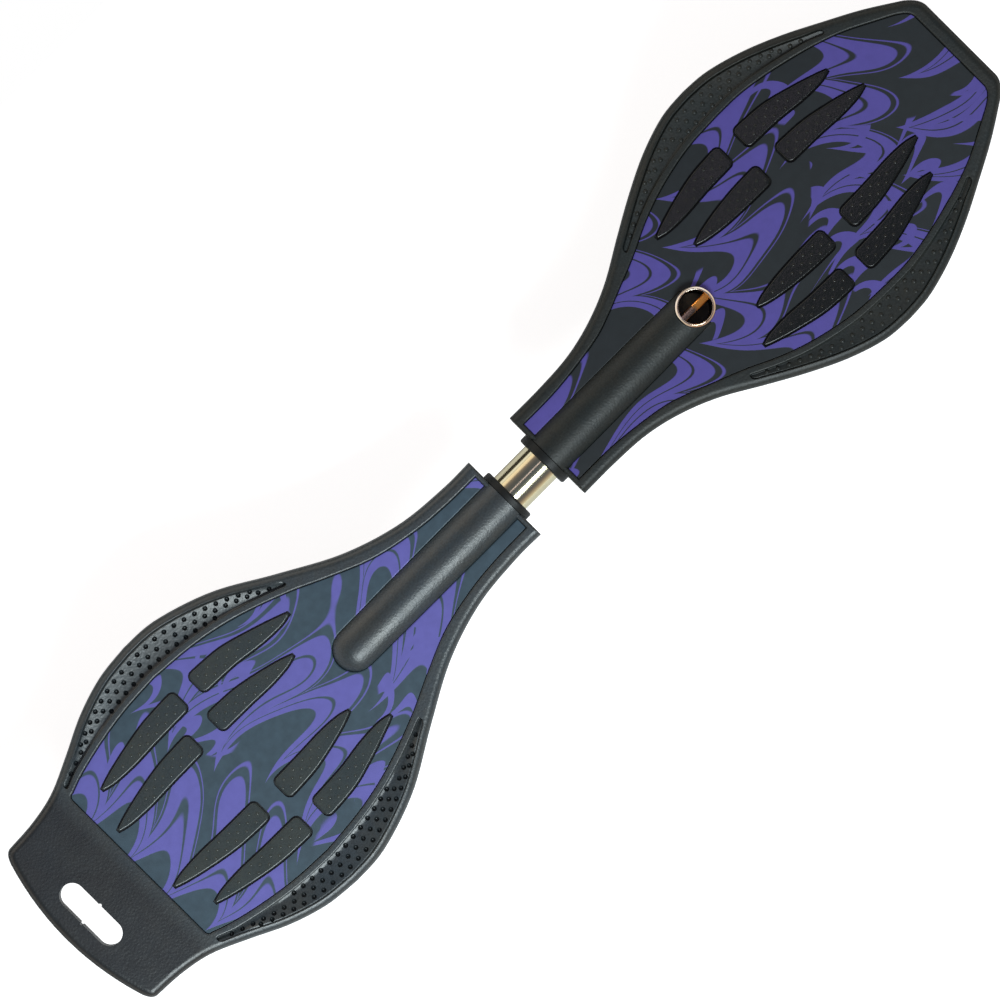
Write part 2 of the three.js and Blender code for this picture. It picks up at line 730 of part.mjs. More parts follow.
function torsionRod() {
  const front = neckGap + frontRidgeLength + (sleeveRadius + sleeveBore / 2) / 2;
  const rear = -tubeInRearDeck - anchorGap - anchorLength / 2;
  const round = alongX(bar(rodRadius, rear, front - rodKeyLength, smallSides));
  const half = rodRadius * rodKeyShare;
  const key = box(front - rodKeyLength - overrun, front, -half, half, -half, half);
  return shape(join(round, key));
}

function anchorBlock() {
  const from = tubeInRearDeck + anchorGap;
  const block = alongX(bar(bushRadius, from, from + anchorLength, boreSides));
  const bore = alongX(bar(rodRadius + fitGap, from - overrun, from + anchorLength / 2 + fitGap, smallSides));
  const holes = anchorPlaces().map(x => alongZ(
    bar(tubeScrewRadius + fitGap, -housingRadius, -anchorScrewReach + fitGap, screwSides)).translate(x, 0, 0));
  return shape(cut(solid(block), bore, ...holes));
}

function lockSleeve() {
  const [inner, outer] = [sleeveBore / 2, sleeveRadius];
  const [low, top] = [sleeveFloor + fitGap, housingRadius + sleeveProud];
  const ring = alongZ(turned([
    [inner, low], [outer, low], [outer, top - sleeveEdge], [outer - sleeveEdge, top],
    [inner + sleeveEdge, top], [inner, top - sleeveEdge], [inner, low]], largeSides));
  const half = rodRadius + fitGap;
  return shape(cut(solid(ring), box(-outer - overrun, outer, -half, half, -half, half)));
}

function sleevePlug() {
  const low = sleeveFloor + fitGap;
  return alongZ(bar(sleeveBore / 2 - fitGap, low, low + sleevePlugHeight, boreSides));
}

// The caster's pieces, in the kingpin's frame: origin at the mount plate's top, +Z up the kingpin
function mountHolePlaces() {
  const [x, y] = [mountPlateLength / 2 - mountHoleInset, mountPlateWidth / 2 - mountHoleInset];
  return [[-x, -y], [x, -y], [x, y], [-x, y]];
}

function mountPlate() {
  const half = mountPlateLength / 2;
  const outline = roundedRectangle(-half, half, mountPlateWidth / 2, mountPlateCorner);
  const blank = slab(outline, -mountPlateThickness, 0, cornerSteps);
  const holes = mountHolePlaces().map(([x, y]) => alongZ(
    bar(plateScrewDiameter / 2 + fitGap, -overrun, overrun, screwSides)).translate(x, y, 0));
  const centre = alongZ(bar(kingpinDiameter / 2 + fitGap, -overrun, overrun, smallSides));
  return shape(cut(solid(blank), centre, ...holes));
}

function plateScrew() {
  const seat = -mountPlateThickness - fitGap;
  const low = seat - plateScrewHeadHeight;
  const [shank, head] = [plateScrewDiameter / 2, plateScrewHeadRadius];
  return alongZ(turned([[0, low], [head - plateScrewHeadEdge, low], [head, (seat + low) / 2], [head, seat],
    [shank, seat], [shank, plateScrewReach], [0, plateScrewReach]], screwSides));
}

function kingpin() {
  const end = crownBottom - fitGap - kingpinNutHeight - kingpinTail;
  const head = alongZ(bar(kingpinHeadRadius, fitGap, kingpinHeadHeight, hexSides));
  const shank = alongZ(bar(kingpinDiameter / 2, end, kingpinHeadHeight / 2, smallSides));
  return shape(join(head, shank));
}

function kingpinNut() {
  const top = crownBottom - fitGap;
  const blank = solid(alongZ(bar(kingpinHeadRadius, top - kingpinNutHeight, top, hexSides)));
  const bore = bar(kingpinDiameter / 2 + fitGap, top - kingpinNutHeight - overrun, top + overrun, smallSides);
  return shape(cut(blank, alongZ(bore)));
}

function thrustBearing() {
  const [inner, low] = [kingpinDiameter / 2 + fitGap, thrustTop - thrustHeight];
  const middle = (thrustTop + low) / 2;
  const waist = thrustRadius - thrustGroove;
  return alongZ(turned([[inner, low], [thrustRadius, low], [thrustRadius, middle - thrustGroove],
    [waist, middle - thrustGroove], [waist, middle + thrustGroove], [thrustRadius, middle + thrustGroove],
    [thrustRadius, thrustTop], [inner, thrustTop], [inner, low]], bearingSides));
}

function forkLeg() {
  const leg = new THREE.Shape();
  leg.moveTo(-crownBack + legShoulder / 2, crownTop);
  leg.lineTo(-crownBack, crownTop - legShoulder);
  leg.lineTo(-forkRake - axleEyeRadius, -forkDrop);
  leg.absarc(-forkRake, -forkDrop, axleEyeRadius, Math.PI, axleEyeEnd);
  leg.lineTo(crownFront - legShoulder, crownTop - legShoulder);
  leg.lineTo(crownFront - legShoulder, crownTop);
  const outer = wheelWidth / 2 + forkSideGap + legThickness;
  return slab(leg, -outer, -outer + legThickness, smallSides).rotateX(Math.PI / 2);
}

function fork() {
  const inner = wheelWidth / 2 + forkSideGap;
  const outer = inner + legThickness;
  const crown = slab(
    roundedRectangle(-crownBack, crownFront, outer, crownCorner), crownBottom, crownTop, cornerSteps);
  const boss = bar(bearingBore / 2 + bearingRaceWall, wheelWidth / 2, inner + legThickness / 2, smallSides)
    .translate(-forkRake, 0, -forkDrop);
  const body = join(crown, forkLeg(), forkLeg().translate(0, -outer - inner, 0), boss,
    boss.clone().rotateX(Math.PI).translate(0, 0, -forkDrop - forkDrop));
  const axle = bar(axleDiameter / 2 + fitGap, -outer - overrun, outer + overrun, smallSides)
    .translate(-forkRake, 0, -forkDrop);
  const pin = alongZ(bar(kingpinDiameter / 2 + fitGap, crownBottom - overrun, crownTop + overrun, smallSides));
  return shape(cut(body, axle, pin));
}

function tyre() {
  const [inner, outer, half] = [wheelRadius - tyreWall + fitGap, wheelRadius, wheelWidth / 2];
  const shoulder = quarterTurn(tyreShoulderSteps).map(angle => [
    outer - tyreShoulder * (1 - Math.sin(angle)), half - tyreShoulder * (1 - Math.cos(angle))]);
  const right = [[inner, half - fitGap], ...shoulder];
  const left = right.map(([radius, along]) => [radius, -along]);
  return turned([...left, ...right.reverse(), left[0]], largeSides);
}

function hub() {
  const [outer, half] = [wheelRadius - tyreWall, wheelWidth / 2];
  const seat = bearingDiameter / 2 + fitGap;
  const shoulder = half - bearingWidth - looseGap;
  const web = half - hubWebRecess;
  const right = [
    [bearingBore / 2 + spacerWall + looseGap, shoulder], [seat, shoulder], [seat, half],
    [seat + hubSeatWall, half], [seat + hubSeatWall, web], [outer - hubRimWall, web],
    [outer - hubRimWall, half], [outer, half]];
  const left = right.map(([radius, along]) => [radius, -along]).reverse();
  const blank = solid(turned([...right, ...left, right[0]], boreSides));
  const radius = (seat + hubSeatWall + outer - hubRimWall) / 2;
  const window = bar(hubWindowRadius, -wheelWidth, wheelWidth, screwSides).translate(radius, 0, 0);
  const windows = Array.from({ length: hubWindows }, (_, i) => window.clone()
    .rotateY(2 * Math.PI * i / hubWindows));
  return shape(cut(blank, ...windows));
}

function ballBearing(side) {
  const face = side * (wheelWidth / 2 - fitGap);
  const back = face - side * bearingWidth;
  const [inner, outer] = [bearingBore / 2, bearingDiameter / 2];
  const shield = face - side * bearingShieldDepth;
  return turned([[inner, back], [outer, back], [outer, face], [outer - bearingRaceWall / 2, face],
    [outer - bearingRaceWall / 2, shield], [inner + bearingRaceWall, shield], [inner + bearingRaceWall, face],
    [inner, face], [inner, back]], bearingSides);
}

function bearingSpacer() {
  const reach = wheelWidth / 2 - bearingWidth - looseGap;
  return sleeve(axleDiameter / 2 + fitGap, bearingBore / 2 + spacerWall, -reach, reach, smallSides);
}

function axleBolt() {
  const outer = wheelWidth / 2 + forkSideGap + legThickness + fitGap;
  const head = bar(axleHeadRadius, -outer - axleHeadHeight, -outer, hexSides);
  const end = outer + axleNutHeight + axleTail;
  const shank = bar(axleDiameter / 2, -outer - axleHeadHeight / 2, end, smallSides);
  return shape(join(head, shank));
}

function axleNut() {
  const from = wheelWidth / 2 + forkSideGap + legThickness + fitGap;
  const blank = solid(bar(axleHeadRadius, from, from + axleNutHeight, hexSides));
  const bore = bar(axleDiameter / 2 + fitGap, from - overrun, from + axleNutHeight + overrun, smallSides);
  return shape(cut(blank, bore));
}

function wheelGroup(end) {
  const group = new THREE.Group();
  group.position.set(-forkRake, 0, -forkDrop);
  group.rotation.y = -leanAngle;
  group.add(
    piece(`${end}_tyre`, tyre(), 'tyre'), piece(`${end}_hub`, hub(), 'hub'),
    piece(`${end}_bearing_left`, ballBearing(1), 'steel'),
    piece(`${end}_bearing_right`, ballBearing(-1), 'steel'),
    piece(`${end}_bearing_spacer`, bearingSpacer(), 'steel'),
    piece(`${end}_axle_bolt`, axleBolt(), 'darkSteel'), piece(`${end}_axle_nut`, axleNut(), 'darkSteel'));
  return group;
}

function casterGroup(end, x) {
  const group = new THREE.Group();
  group.position.set(x, 0, plateHeight);
  group.rotation.y = leanAngle;
  mountHolePlaces().forEach(([px, py], i) => {
    const screw = piece(`${end}_plate_screw_${i + 1}`, plateScrew(), 'darkSteel');
    screw.position.set(px, py, 0);
    group.add(screw);
  });
  group.add(
    piece(`${end}_mount_plate`, mountPlate(), 'darkSteel'), piece(`${end}_kingpin`, kingpin(), 'steel'),
    piece(`${end}_kingpin_nut`, kingpinNut(), 'steel'),
    piece(`${end}_thrust_bearing`, thrustBearing(), 'steel'),
    piece(`${end}_fork`, fork(), 'darkSteel'), wheelGroup(end));
  return group;
}

// Each deck with what it needs from its neighbours
function deckFrame(neckX, turn) {
  const frame = new THREE.Group();
  frame.position.set(neckX, 0, tubeHeight);
  frame.rotation.z = turn;
  frame.updateMatrix();
  return frame;
}

function matrixBetween(frame, caster) {
  caster.updateMatrix();
  return frame.matrix.clone().invert().multiply(caster.matrix);
}

const board = new THREE.Group();
const frontFrame = deckFrame(frontNeckX, 0);
const rearFrame = deckFrame(rearNeckX, Math.PI);
const frontCaster = casterGroup('front', frontNeckX + frontCasterAt);
const rearCaster = casterGroup('rear', rearNeckX - rearCasterAt);

const rear = {
  length: rearDeckLength, outlineSizes: rearOutline, outline: deckOutline(rearOutline),
  panel: deckOutline(rearPanelOutline), claws: rearClaws, crescent: rearCrescent, tipSolid: rearTipSolid,
  ridgeLength: rearRidgeLength, domed: true, casterAt: rearCasterAt,
  casterMatrix: matrixBetween(rearFrame, rearCaster),
  boreDepth: tubeInRearDeck + anchorGap + anchorLength + fitGap, bosses: screwBosses(anchorPlaces()),
};
rear.cuts = [tubeBore(rear), ...screwBores(anchorPlaces()), ...carrySlot(rear)];
rear.panelCuts = [];

const front = {
  length: frontDeckLength, outlineSizes: frontOutline, outline: deckOutline(frontOutline),
  panel: deckOutline(frontPanelOutline), claws: frontClaws, crescent: frontCrescent, tipSolid: frontTipSolid,
  ridgeLength: frontRidgeLength, domed: false, casterAt: frontCasterAt,
  casterMatrix: matrixBetween(frontFrame, frontCaster), boreDepth: collarSpigot + fitGap,
  bosses: [...screwBosses(tubeScrewPlaces()), sleeveBoss()],
};
front.cuts = [
  tubeBore(front), alongX(bar(tubeRadius + fitGap, -overrun, tubeInFrontDeck + fitGap, boreSides)),
  ...screwBores(tubeScrewPlaces()), sleeveHole(), rodPassage()];
front.panelCuts = [sleeveHole()];

rearFrame.add(
  piece('rear_deck', shape(deckSolid(rear)), 'deck'),
  piece('rear_panel', shape(panelSolid(rear)), 'rearPanel'),
  piece('rear_neck_bush', neckCollar(rearCollarProud), 'nylon'),
  piece('rear_inner_bush', innerBush(), 'nylon'),
  piece('tube_snap_ring', snapRing(), 'steel'),
  piece('rod_anchor_block', anchorBlock(), 'steel'));
anchorPlaces().forEach((x, i) => {
  const screw = piece(`anchor_screw_${i + 1}`, bossScrew(-anchorScrewReach), 'darkSteel');
  screw.position.x = x;
  rearFrame.add(screw);
});

frontFrame.add(
  piece('front_deck', shape(deckSolid(front)), 'deck'),
  piece('front_panel', shape(panelSolid(front)), 'frontPanel'),
  piece('front_neck_collar', neckCollar(frontCollarProud), 'nylon'));
tubeScrewPlaces().forEach((x, i) => {
  const screw = piece(`tube_screw_${i + 1}`, bossScrew(-tubeRadius + tubeWall - fitGap), 'darkSteel');
  screw.position.x = x;
  frontFrame.add(screw);
});
const lock = new THREE.Group();
lock.position.x = frontRidgeLength;
lock.add(piece('lock_sleeve', lockSleeve(), 'chrome'), piece('sleeve_plug', sleevePlug(), 'nylon'));
frontFrame.add(lock);

const spring = new THREE.Group();
spring.position.set(rearNeckX, 0, tubeHeight);
spring.add(piece('torsion_tube', torsionTube(), 'chrome'), piece('torsion_rod', torsionRod(), 'chrome'));

board.add(frontFrame, rearFrame, spring, frontCaster, rearCaster);

export default board;
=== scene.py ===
import json
from math import atan2, cos, pi, radians, sin, sqrt
from types import SimpleNamespace as Named

import bmesh
import bpy
import numpy as np
from mathutils import Matrix, Vector


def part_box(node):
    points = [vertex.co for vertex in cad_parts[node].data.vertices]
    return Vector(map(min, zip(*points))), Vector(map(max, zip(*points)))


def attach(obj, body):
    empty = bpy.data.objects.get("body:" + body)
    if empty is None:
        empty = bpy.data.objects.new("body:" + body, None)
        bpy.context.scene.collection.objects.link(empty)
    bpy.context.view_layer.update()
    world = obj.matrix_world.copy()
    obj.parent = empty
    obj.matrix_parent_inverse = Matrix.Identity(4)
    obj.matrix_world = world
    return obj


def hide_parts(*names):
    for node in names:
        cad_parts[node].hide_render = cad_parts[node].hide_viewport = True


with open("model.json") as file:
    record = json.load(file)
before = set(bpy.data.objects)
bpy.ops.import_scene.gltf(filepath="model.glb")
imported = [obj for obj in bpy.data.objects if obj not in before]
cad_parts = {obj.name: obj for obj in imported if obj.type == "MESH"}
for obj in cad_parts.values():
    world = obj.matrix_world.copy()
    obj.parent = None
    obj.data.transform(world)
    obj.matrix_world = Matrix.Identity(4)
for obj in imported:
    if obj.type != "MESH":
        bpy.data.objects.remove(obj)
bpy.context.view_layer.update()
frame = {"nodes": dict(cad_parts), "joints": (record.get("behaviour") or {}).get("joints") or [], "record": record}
joints = {joint["name"]: joint for joint in frame["joints"]}

# Sizes are millimetres, and a mesh turns to metres when it becomes a piece
MM = 0.001
FIT_GAP = 0.3
LOOSE_GAP = 0.6
OVERRUN = 5
MERGE = 0.0005

# Deck section, measured down from the rim's top
DECK = Named(neck_depth=28, tip_depth=13, kick=18, skin=3.3)
RIM_ABOVE_TUBE = 14.1
RIM_EDGE_RADIUS = 6
NECK_EDGE_RADIUS = 1.4
SKIRT = Named(wall=4, draft=2.5, round=1.2)
CAVITY_ROUND = 2
PANEL = Named(step=1.5, thickness=2, edge=0.5)
RECESS_LIP = 1.2
RIB = Named(thickness=2.6, pitch=62, offset=44)

# Torsion tube, collars, lock sleeve and rod
TUBE = Named(radius=15.5, wall=2.2, end_round=0.5, in_rear_deck=103.5, in_front_deck=117.3,
             screw_shares=(0.36, 0.78))
BUSH = Named(radius=17.4, bore_radius=17.7)
HOUSING_RADIUS = 20
FRONT_RIDGE_LENGTH = 143.3
COLLAR = Named(radius=20.7, spigot=24, edge=1.6)
REAR_COLLAR_PROUD = 5.1
FRONT_COLLAR_PROUD = 6
SLEEVE = Named(radius=14, bore_radius=11.85, proud=0.6, edge=0.35, cone_width=1.4, cone_drop=1.2,
               floor_wall=2.6, plug_height=4, boss_wall=3.5)
ROD = Named(half=2.76, radius=3, edge=1.1, slot_gap=0.45, key_length=70)
SCREW = Named(boss_radius=8, boss_drop=4, radius=2.9, head_radius=4.8, head_height=4, dome=0.55)
ANCHOR = Named(gap=8, length=28, screw_shares=(0.28, 0.72))

# Caster, in the frame of its kingpin
WHEEL = Named(radius=38, width=24)
TYRE = Named(wall=16, shoulder=7, gap=3.9)
TYRE_GROOVE = ((0, FIT_GAP), (2.4, FIT_GAP), (2.9, 0.9), (3.7, 0.9), (4.2, 0))
FORK = Named(rake=28, side_gap=2.5)
LEG = Named(thickness=3, shoulder=7)
CROWN = Named(thickness=3.5, front=17, back=25, corner=9)
AXLE = Named(eye_radius=9, eye_end=1.92 * pi, radius=3.7, head_radius=6.6, head_height=5, nut_height=6.5,
             tail=1.5)
BEARING = Named(bore_radius=4, radius=11, width=7)
RACE = Named(wall=2, edge=0.3, shield_drop=0.5)
HUB = Named(seat_wall=3.2, web_recess=6, rim_wall=3, windows=5, window_radius=2)
PLATE = Named(length=60, width=58, thickness=3, corner=8, hole_inset=8.5)
PLATE_SCREW = Named(radius=2.4, head_radius=4.4, head_height=3, reach=16)
THRUST = Named(height=6, radius=18, groove=0.8)
KINGPIN = Named(radius=4.7, head_radius=8, head_height=6, nut_height=6, tail=1)
PEDESTAL = Named(margin=4, corner=9, draft=3)
EDGE_ROUND = 0.5
HEXAGON_CHAMFER = 0.6
CROSS = Named(width=1.1, slimness=5, depth=0.7)

# Limits for outlines
TIP_MIDDLE_SHARE = 0.04
STRAIGHT = 0.9999
UNFOLD_ROUNDS = 12
TINY = 1e-9
LEAST_STEP = 1
DOME_OPENING_ANGLES = (0.1, 1.53)

# The grained tail plate is painted darker, as painted shade for its duller sheen, over this length from the
# panel's end on
TAIL = Named(blend=12, shade=0.3)

# Raised claw pads: how far along, how far in, and how wide, as shares
CLAW_SHARES = ((0, 0, 1), (0.12, 0.02, 1.01), (0.38, 0.16, 0.95), (0.66, 0.6, 0.75), (0.88, 0.91, 0.43),
               (1, 1, 0.1))
CLAW = Named(steps=26, proud=1.6, round=3.6, first_angle=0.3, end_steps=6, edge=1.1, gap=1.15, sink=1,
             dot_pitch=4.6, dot_spread=3.7, dot_radius=1.4)

# Crescent channels in the side rims
CRESCENT = Named(climb_power=1.35, turn=0.1, outer_inset=5.8, inner_offset=5.2, end_width=4.4, end_round=3,
                 groove_width=1.2, groove_depth=0.9, outer_fillet=1.3, inner_fillet=1.2, steps=80,
                 floor_steps=12, lip_start=pi / 8, groove_most=0.4, rows=(0.13, 0.45, 0.77), dot_pitch=8,
                 dot_samples=200)
# Radius, how far the middle lies above the floor as a share of it, and stretch in height
DIMPLE = (1.85, 0.15, 1.5)
BUMP = (2, -0.45, 1)
DOT_SINK_SHARE = 0.45

# Carry slot
SLOT = Named(from_tip=24.2, width=17.5, length=53.6, notch=1.1)

# Deck by deck, in the deck's own frame: x from the neck, y to the side. An outline's shares run from the
# neck to the widest place, and on to the tip's corner. A claw's tip and neck give a length and its end's y.
# The crescent has two ends, a deepest and a shallowest place, and tip_solid is uncut below the tip
DECKS = dict(
    front=dict(
        outline=dict(
            neck=(0, 36.5), wide=(242, 110), corner=(391, 47), end=(399.8, 33), corner_share=0.5,
            flare=((0, 0), (0.12, 0), (0.24, 0.025), (0.35, 0.11), (0.46, 0.257), (0.58, 0.485),
                   (0.69, 0.687), (0.8, 0.86), (0.91, 0.975), (1, 1)),
            taper=((0, 1), (0.14, 0.972), (0.32, 0.852), (0.5, 0.673), (0.68, 0.452), (0.84, 0.245),
                   (1, 0))),
        panel=dict(
            neck=(4, 26.5), wide=(247.3, 81.5), corner=(377.3, 45), end=(388.3, 33), corner_share=0.5,
            flare=((0, 0), (0.14, 0.009), (0.3, 0.1), (0.383, 0.209), (0.466, 0.355), (0.548, 0.5),
                   (0.65, 0.709), (0.753, 0.864), (0.877, 0.973), (1, 1)),
            taper=((0, 1), (0.154, 0.986), (0.308, 0.904), (0.462, 0.781), (0.615, 0.63), (0.77, 0.425),
                   (0.92, 0.15), (1, 0))),
        claws=(Named(at=239, gap=14.5, middle=58.8, width=16, tip=(74.5, 50), neck=(73, 52)),
               Named(at=250, gap=17.5, middle=31.1, width=15.8, tip=(72.5, 25), neck=(67, 30))),
        caster_at=239, ridge_length=FRONT_RIDGE_LENGTH, ridge_lip=0.7, domed=False, tip_solid=16,
        crescent=(136, 338), crescent_depths=(2.2, 1), dimpled=False),
    rear=dict(
        outline=dict(
            neck=(0, 35), wide=(256.5, 113), corner=(407, 71), end=(424, 62), bulge=12,
            flare=((0, 0), (0.1, 0), (0.25, 0.051), (0.41, 0.218), (0.57, 0.5), (0.73, 0.8), (0.89, 0.974),
                   (1, 1)),
            taper=((0, 1), (0.175, 0.93), (0.356, 0.726), (0.53, 0.424), (0.7, 0.15), (0.85, 0.035),
                   (1, 0))),
        panel=dict(
            neck=(4, 24.5), wide=(256, 83.3), corner=(350.5, 67), end=(354, 63),
            flare=((0, 0), (0.11, 0.008), (0.22, 0.05), (0.35, 0.17), (0.47, 0.38), (0.585, 0.604),
                   (0.73, 0.825), (0.86, 0.945), (1, 1)),
            taper=((0, 1), (0.26, 0.927), (0.46, 0.787), (0.67, 0.56), (0.87, 0.27), (1, 0))),
        claws=(Named(at=246.8, gap=14.5, middle=59.9, width=16.2, tip=(80.5, 54.5), neck=(79, 49.5)),
               Named(at=258.3, gap=18.5, middle=32.1, width=16.2, tip=(79, 27), neck=(70.5, 27))),
        caster_at=246.8, ridge_length=161, ridge_lip=1.2, domed=True, tip_solid=60,
        crescent=(147, 352), crescent_depths=(3.4, 0.6), dimpled=True))

# Facets round full circles, steps along outlines and arcs, points round edges
SIDES = Named(fine=128, round=64, screw=32, dot=12)
STEPS = Named(flare=44, taper=34, corner=8, tip=8, ridge=20, fillet=4, arc=8, dome=16, eye=20, slot=24)
POINTS = Named(rim=9, small=5, panel=4, lip=6, shoulder=13)
FILLET_MOST = 0.45
SHARP_ANGLE = radians(32)

LEAN = atan2(joints["front_swivel"]["axis"][0], joints["front_swivel"]["axis"][2])
TUBE_HEIGHT = joints["deck_twist"]["pos_m"][2] / MM
PANEL_TOP = RIM_ABOVE_TUBE - PANEL.step
RECESS_FLOOR = PANEL_TOP - PANEL.thickness - FIT_GAP
CAVITY_TOP = RECESS_FLOOR - DECK.skin
BOSS_FACE = -HOUSING_RADIUS - SCREW.boss_drop
SLEEVE_FLOOR = -HOUSING_RADIUS + SLEEVE.floor_wall
SLEEVE_BOTTOM = SLEEVE_FLOOR + FIT_GAP
THRUST_TOP = -PLATE.thickness - FIT_GAP
CROWN_TOP = THRUST_TOP - THRUST.height - FIT_GAP
CROWN_BOTTOM = CROWN_TOP - CROWN.thickness
FORK_DROP = WHEEL.radius + TYRE.gap - CROWN_BOTTOM
FORK_INNER = WHEEL.width / 2 + FORK.side_gap
FORK_OUTER = FORK_INNER + LEG.thickness
PLATE_HOLES = [(x * (PLATE.length / 2 - PLATE.hole_inset), y * (PLATE.width / 2 - PLATE.hole_inset))
               for x, y in ((-1, -1), (1, -1), (1, 1), (-1, 1))]


# Meshes: closed bodies in millimetres, joined and cut by modifiers
def mesh_from(vertices, faces):
    mesh = bpy.data.meshes.new("body")
    mesh.from_pydata([tuple(map(float, v)) for v in vertices], [], [tuple(map(int, f)) for f in faces])
    body = bmesh.new()
    body.from_mesh(mesh)
    bmesh.ops.remove_doubles(body, verts=body.verts, dist=MERGE)
    bmesh.ops.recalc_face_normals(body, faces=body.faces)
    body.to_mesh(mesh)
    body.free()
    return mesh


def moved(mesh, matrix):
    copy = mesh.copy()
    copy.transform(matrix)
    if matrix.determinant() < 0:
        copy.flip_normals()
    return copy


def at(x=0, y=0, z=0):
    return Matrix.Translation((x, y, z))


def turn(angle, axis):
    return Matrix.Rotation(angle, 4, axis)


ALONG_X = turn(pi / 2, "Y")
ALONG_Y = turn(-pi / 2, "X")


def shifted(mesh, x=0, y=0, z=0):
    return moved(mesh, at(x, y, z))


def together(meshes):
    """Bodies that don't touch, as one mesh"""
    body = bmesh.new()
    for mesh in meshes:
        body.from_mesh(mesh)
    whole = bpy.data.meshes.new("body")
    body.to_mesh(whole)
    body.free()
    return whole


def evaluated(host):
    """The host object's mesh with its modifiers applied; the host is removed"""
    bpy.context.view_layer.update()
    graph = bpy.context.evaluated_depsgraph_get()
    mesh = bpy.data.meshes.new_from_object(host.evaluated_get(graph))
    bpy.data.objects.remove(host)
    return mesh


def linked(name, data):
    piece = bpy.data.objects.new(name, data)
    bpy.context.scene.collection.objects.link(piece)
    return piece


def carved(base, *steps):
    """The base after each (operation, tool mesh) step"""
    host = linked("host", base)
    tools = [linked("tool", tool) for _, tool in steps]
    for (operation, _), tool in zip(steps, tools):
        step = host.modifiers.new("step", "BOOLEAN")
        step.operation = operation
        step.solver = "MANIFOLD"
        step.object = tool
    mesh = evaluated(host)
    for tool in tools:
        bpy.data.objects.remove(tool)
    return mesh


def cut(base, *tools):
    return carved(base, *(("DIFFERENCE", tool) for tool in tools))


def join(base, *tools):
    return carved(base, *(("UNION", tool) for tool in tools))


def bevelled(mesh):
    host = linked("host", mesh)
    bevel = host.modifiers.new("edges", "BEVEL")
    bevel.width = EDGE_ROUND
    bevel.segments = 2
    bevel.limit_method = "ANGLE"
    bevel.angle_limit = radians(30)
    return evaluated(host)


def curve(start, middle, end, steps):
    """From start to end, heading for the middle at first"""
    return [(1 - t) ** 2 * start + 2 * t * (1 - t) * middle + t * t * end
            for t in np.linspace(0, 1, steps + 1)]


def arc(x, y, radius, start, end, steps=STEPS.arc):
    return [(x + radius * cos(a), y + radius * sin(a)) for a in np.linspace(start, end, steps + 1)]


def quarter(count, start=0):
    """The round of an edge, as pairs of 1 - cos and 1 - sin"""
    return [(1 - cos(a), 1 - sin(a)) for a in np.linspace(start, pi / 2, count)]


def filleted(profile, radius, closed=False):
    """A profile with its corners rounded; an open one keeps its two ends"""
    points = np.array(profile, float)
    result = []
    for i, corner in enumerate(points):
        if not closed and i in (0, len(points) - 1):
            result.append(corner)
            continue
        sides = points[i - 1] - corner, points[(i + 1) % len(points)] - corner
        lengths = [np.linalg.norm(side) for side in sides]
        reach = min(radius, FILLET_MOST * min(lengths))
        start, end = (corner + side / length * reach for side, length in zip(sides, lengths))
        result += curve(start, corner, end, STEPS.fillet)
    return result


def skin(count, size, closed=False):
    """The faces between rings of points; closed, the last ring meets the first"""
    return [(i * size + k, i * size + (k + 1) % size, (i + 1) % count * size + (k + 1) % size,
             (i + 1) % count * size + k) for i in range(count if closed else count - 1) for k in range(size)]


def lofted(rings):
    """A closed body through rings of equal count, with flat ends"""
    size, end = len(rings[0]), len(rings) * len(rings[0])
    ends = [tuple(range(size)), tuple(range(end - size, end))[::-1]]
    return mesh_from(np.reshape(rings, (-1, 3)), [*ends, *skin(len(rings), size)])


def prism(outline, low, high):
    """A plan outline of (x, y) between two heights"""
    return lofted([[(x, y, z) for x, y in outline] for z in (low, high)])


def box(x0, x1, y0, y1, z0, z1):
    return prism([(x0, y0), (x1, y0), (x1, y1), (x0, y1)], z0, z1)


def turned(profile, sides, closed=False):
    """A profile of (radius, height) turned round Z"""
    angles = np.arange(sides) * 2 * pi / sides
    rings = [[(r * cos(a), r * sin(a), z) for a in angles] for r, z in profile]
    return mesh_from(np.reshape(rings, (-1, 3)), skin(len(rings), sides, closed))


def rounded_ring(profile, edge, sides=SIDES.round):
    """A closed profile with its corners rounded, turned round Z"""
    return turned(filleted(profile, edge, closed=True), sides, closed=True)


def bar(radius, start, end, sides=SIDES.screw, edge=0):
    profile = [(0, start), (radius, start), (radius, end), (0, end)]
    return turned(filleted(profile, edge) if edge else profile, sides)


def rounded_rectangle(x0, x1, half, radius):
    centres = ((x1 - radius, radius - half), (x1 - radius, half - radius),
               (x0 + radius, half - radius), (x0 + radius, radius - half))
    return [point for k, centre in enumerate(centres)
            for point in arc(*centre, radius, (k - 1) * pi / 2, k * pi / 2)]


def hexagon(radius, start, end):
    """A hexagon bar whose corners are turned off at both ends"""
    inner = radius * cos(pi / 6)
    drop = (radius - inner) * HEXAGON_CHAMFER
    cone = turned([(0, start), (inner, start), (radius, start + drop), (radius, end - drop), (inner, end),
                   (0, end)], SIDES.round)
    return carved(bar(radius, start, end, 6), ("INTERSECT", cone))


# Plan outlines: an edge high in Y and one low in Y, with points in step along the deck
def spline_through(points, steps):
    """A smooth line through points, with equal steps over all its spans"""
    points = np.array(points, float)
    last = len(points) - 1
    place = last * np.arange(steps + 1) / steps
    k = place.astype(int)
    a, b, c, d = (points[np.clip(k + shift, 0, last)] for shift in (-1, 0, 1, 2))
    into, out, w = (c - a) / 2, (d - b) / 2, (place - k)[:, None]
    return ((2 * b - 2 * c + into + out) * w + (3 * c - 3 * b - 2 * into - out)) * w * w + into * w + b


def symmetric(high):
    high = np.array(high, float)
    return high, high * (1, -1)


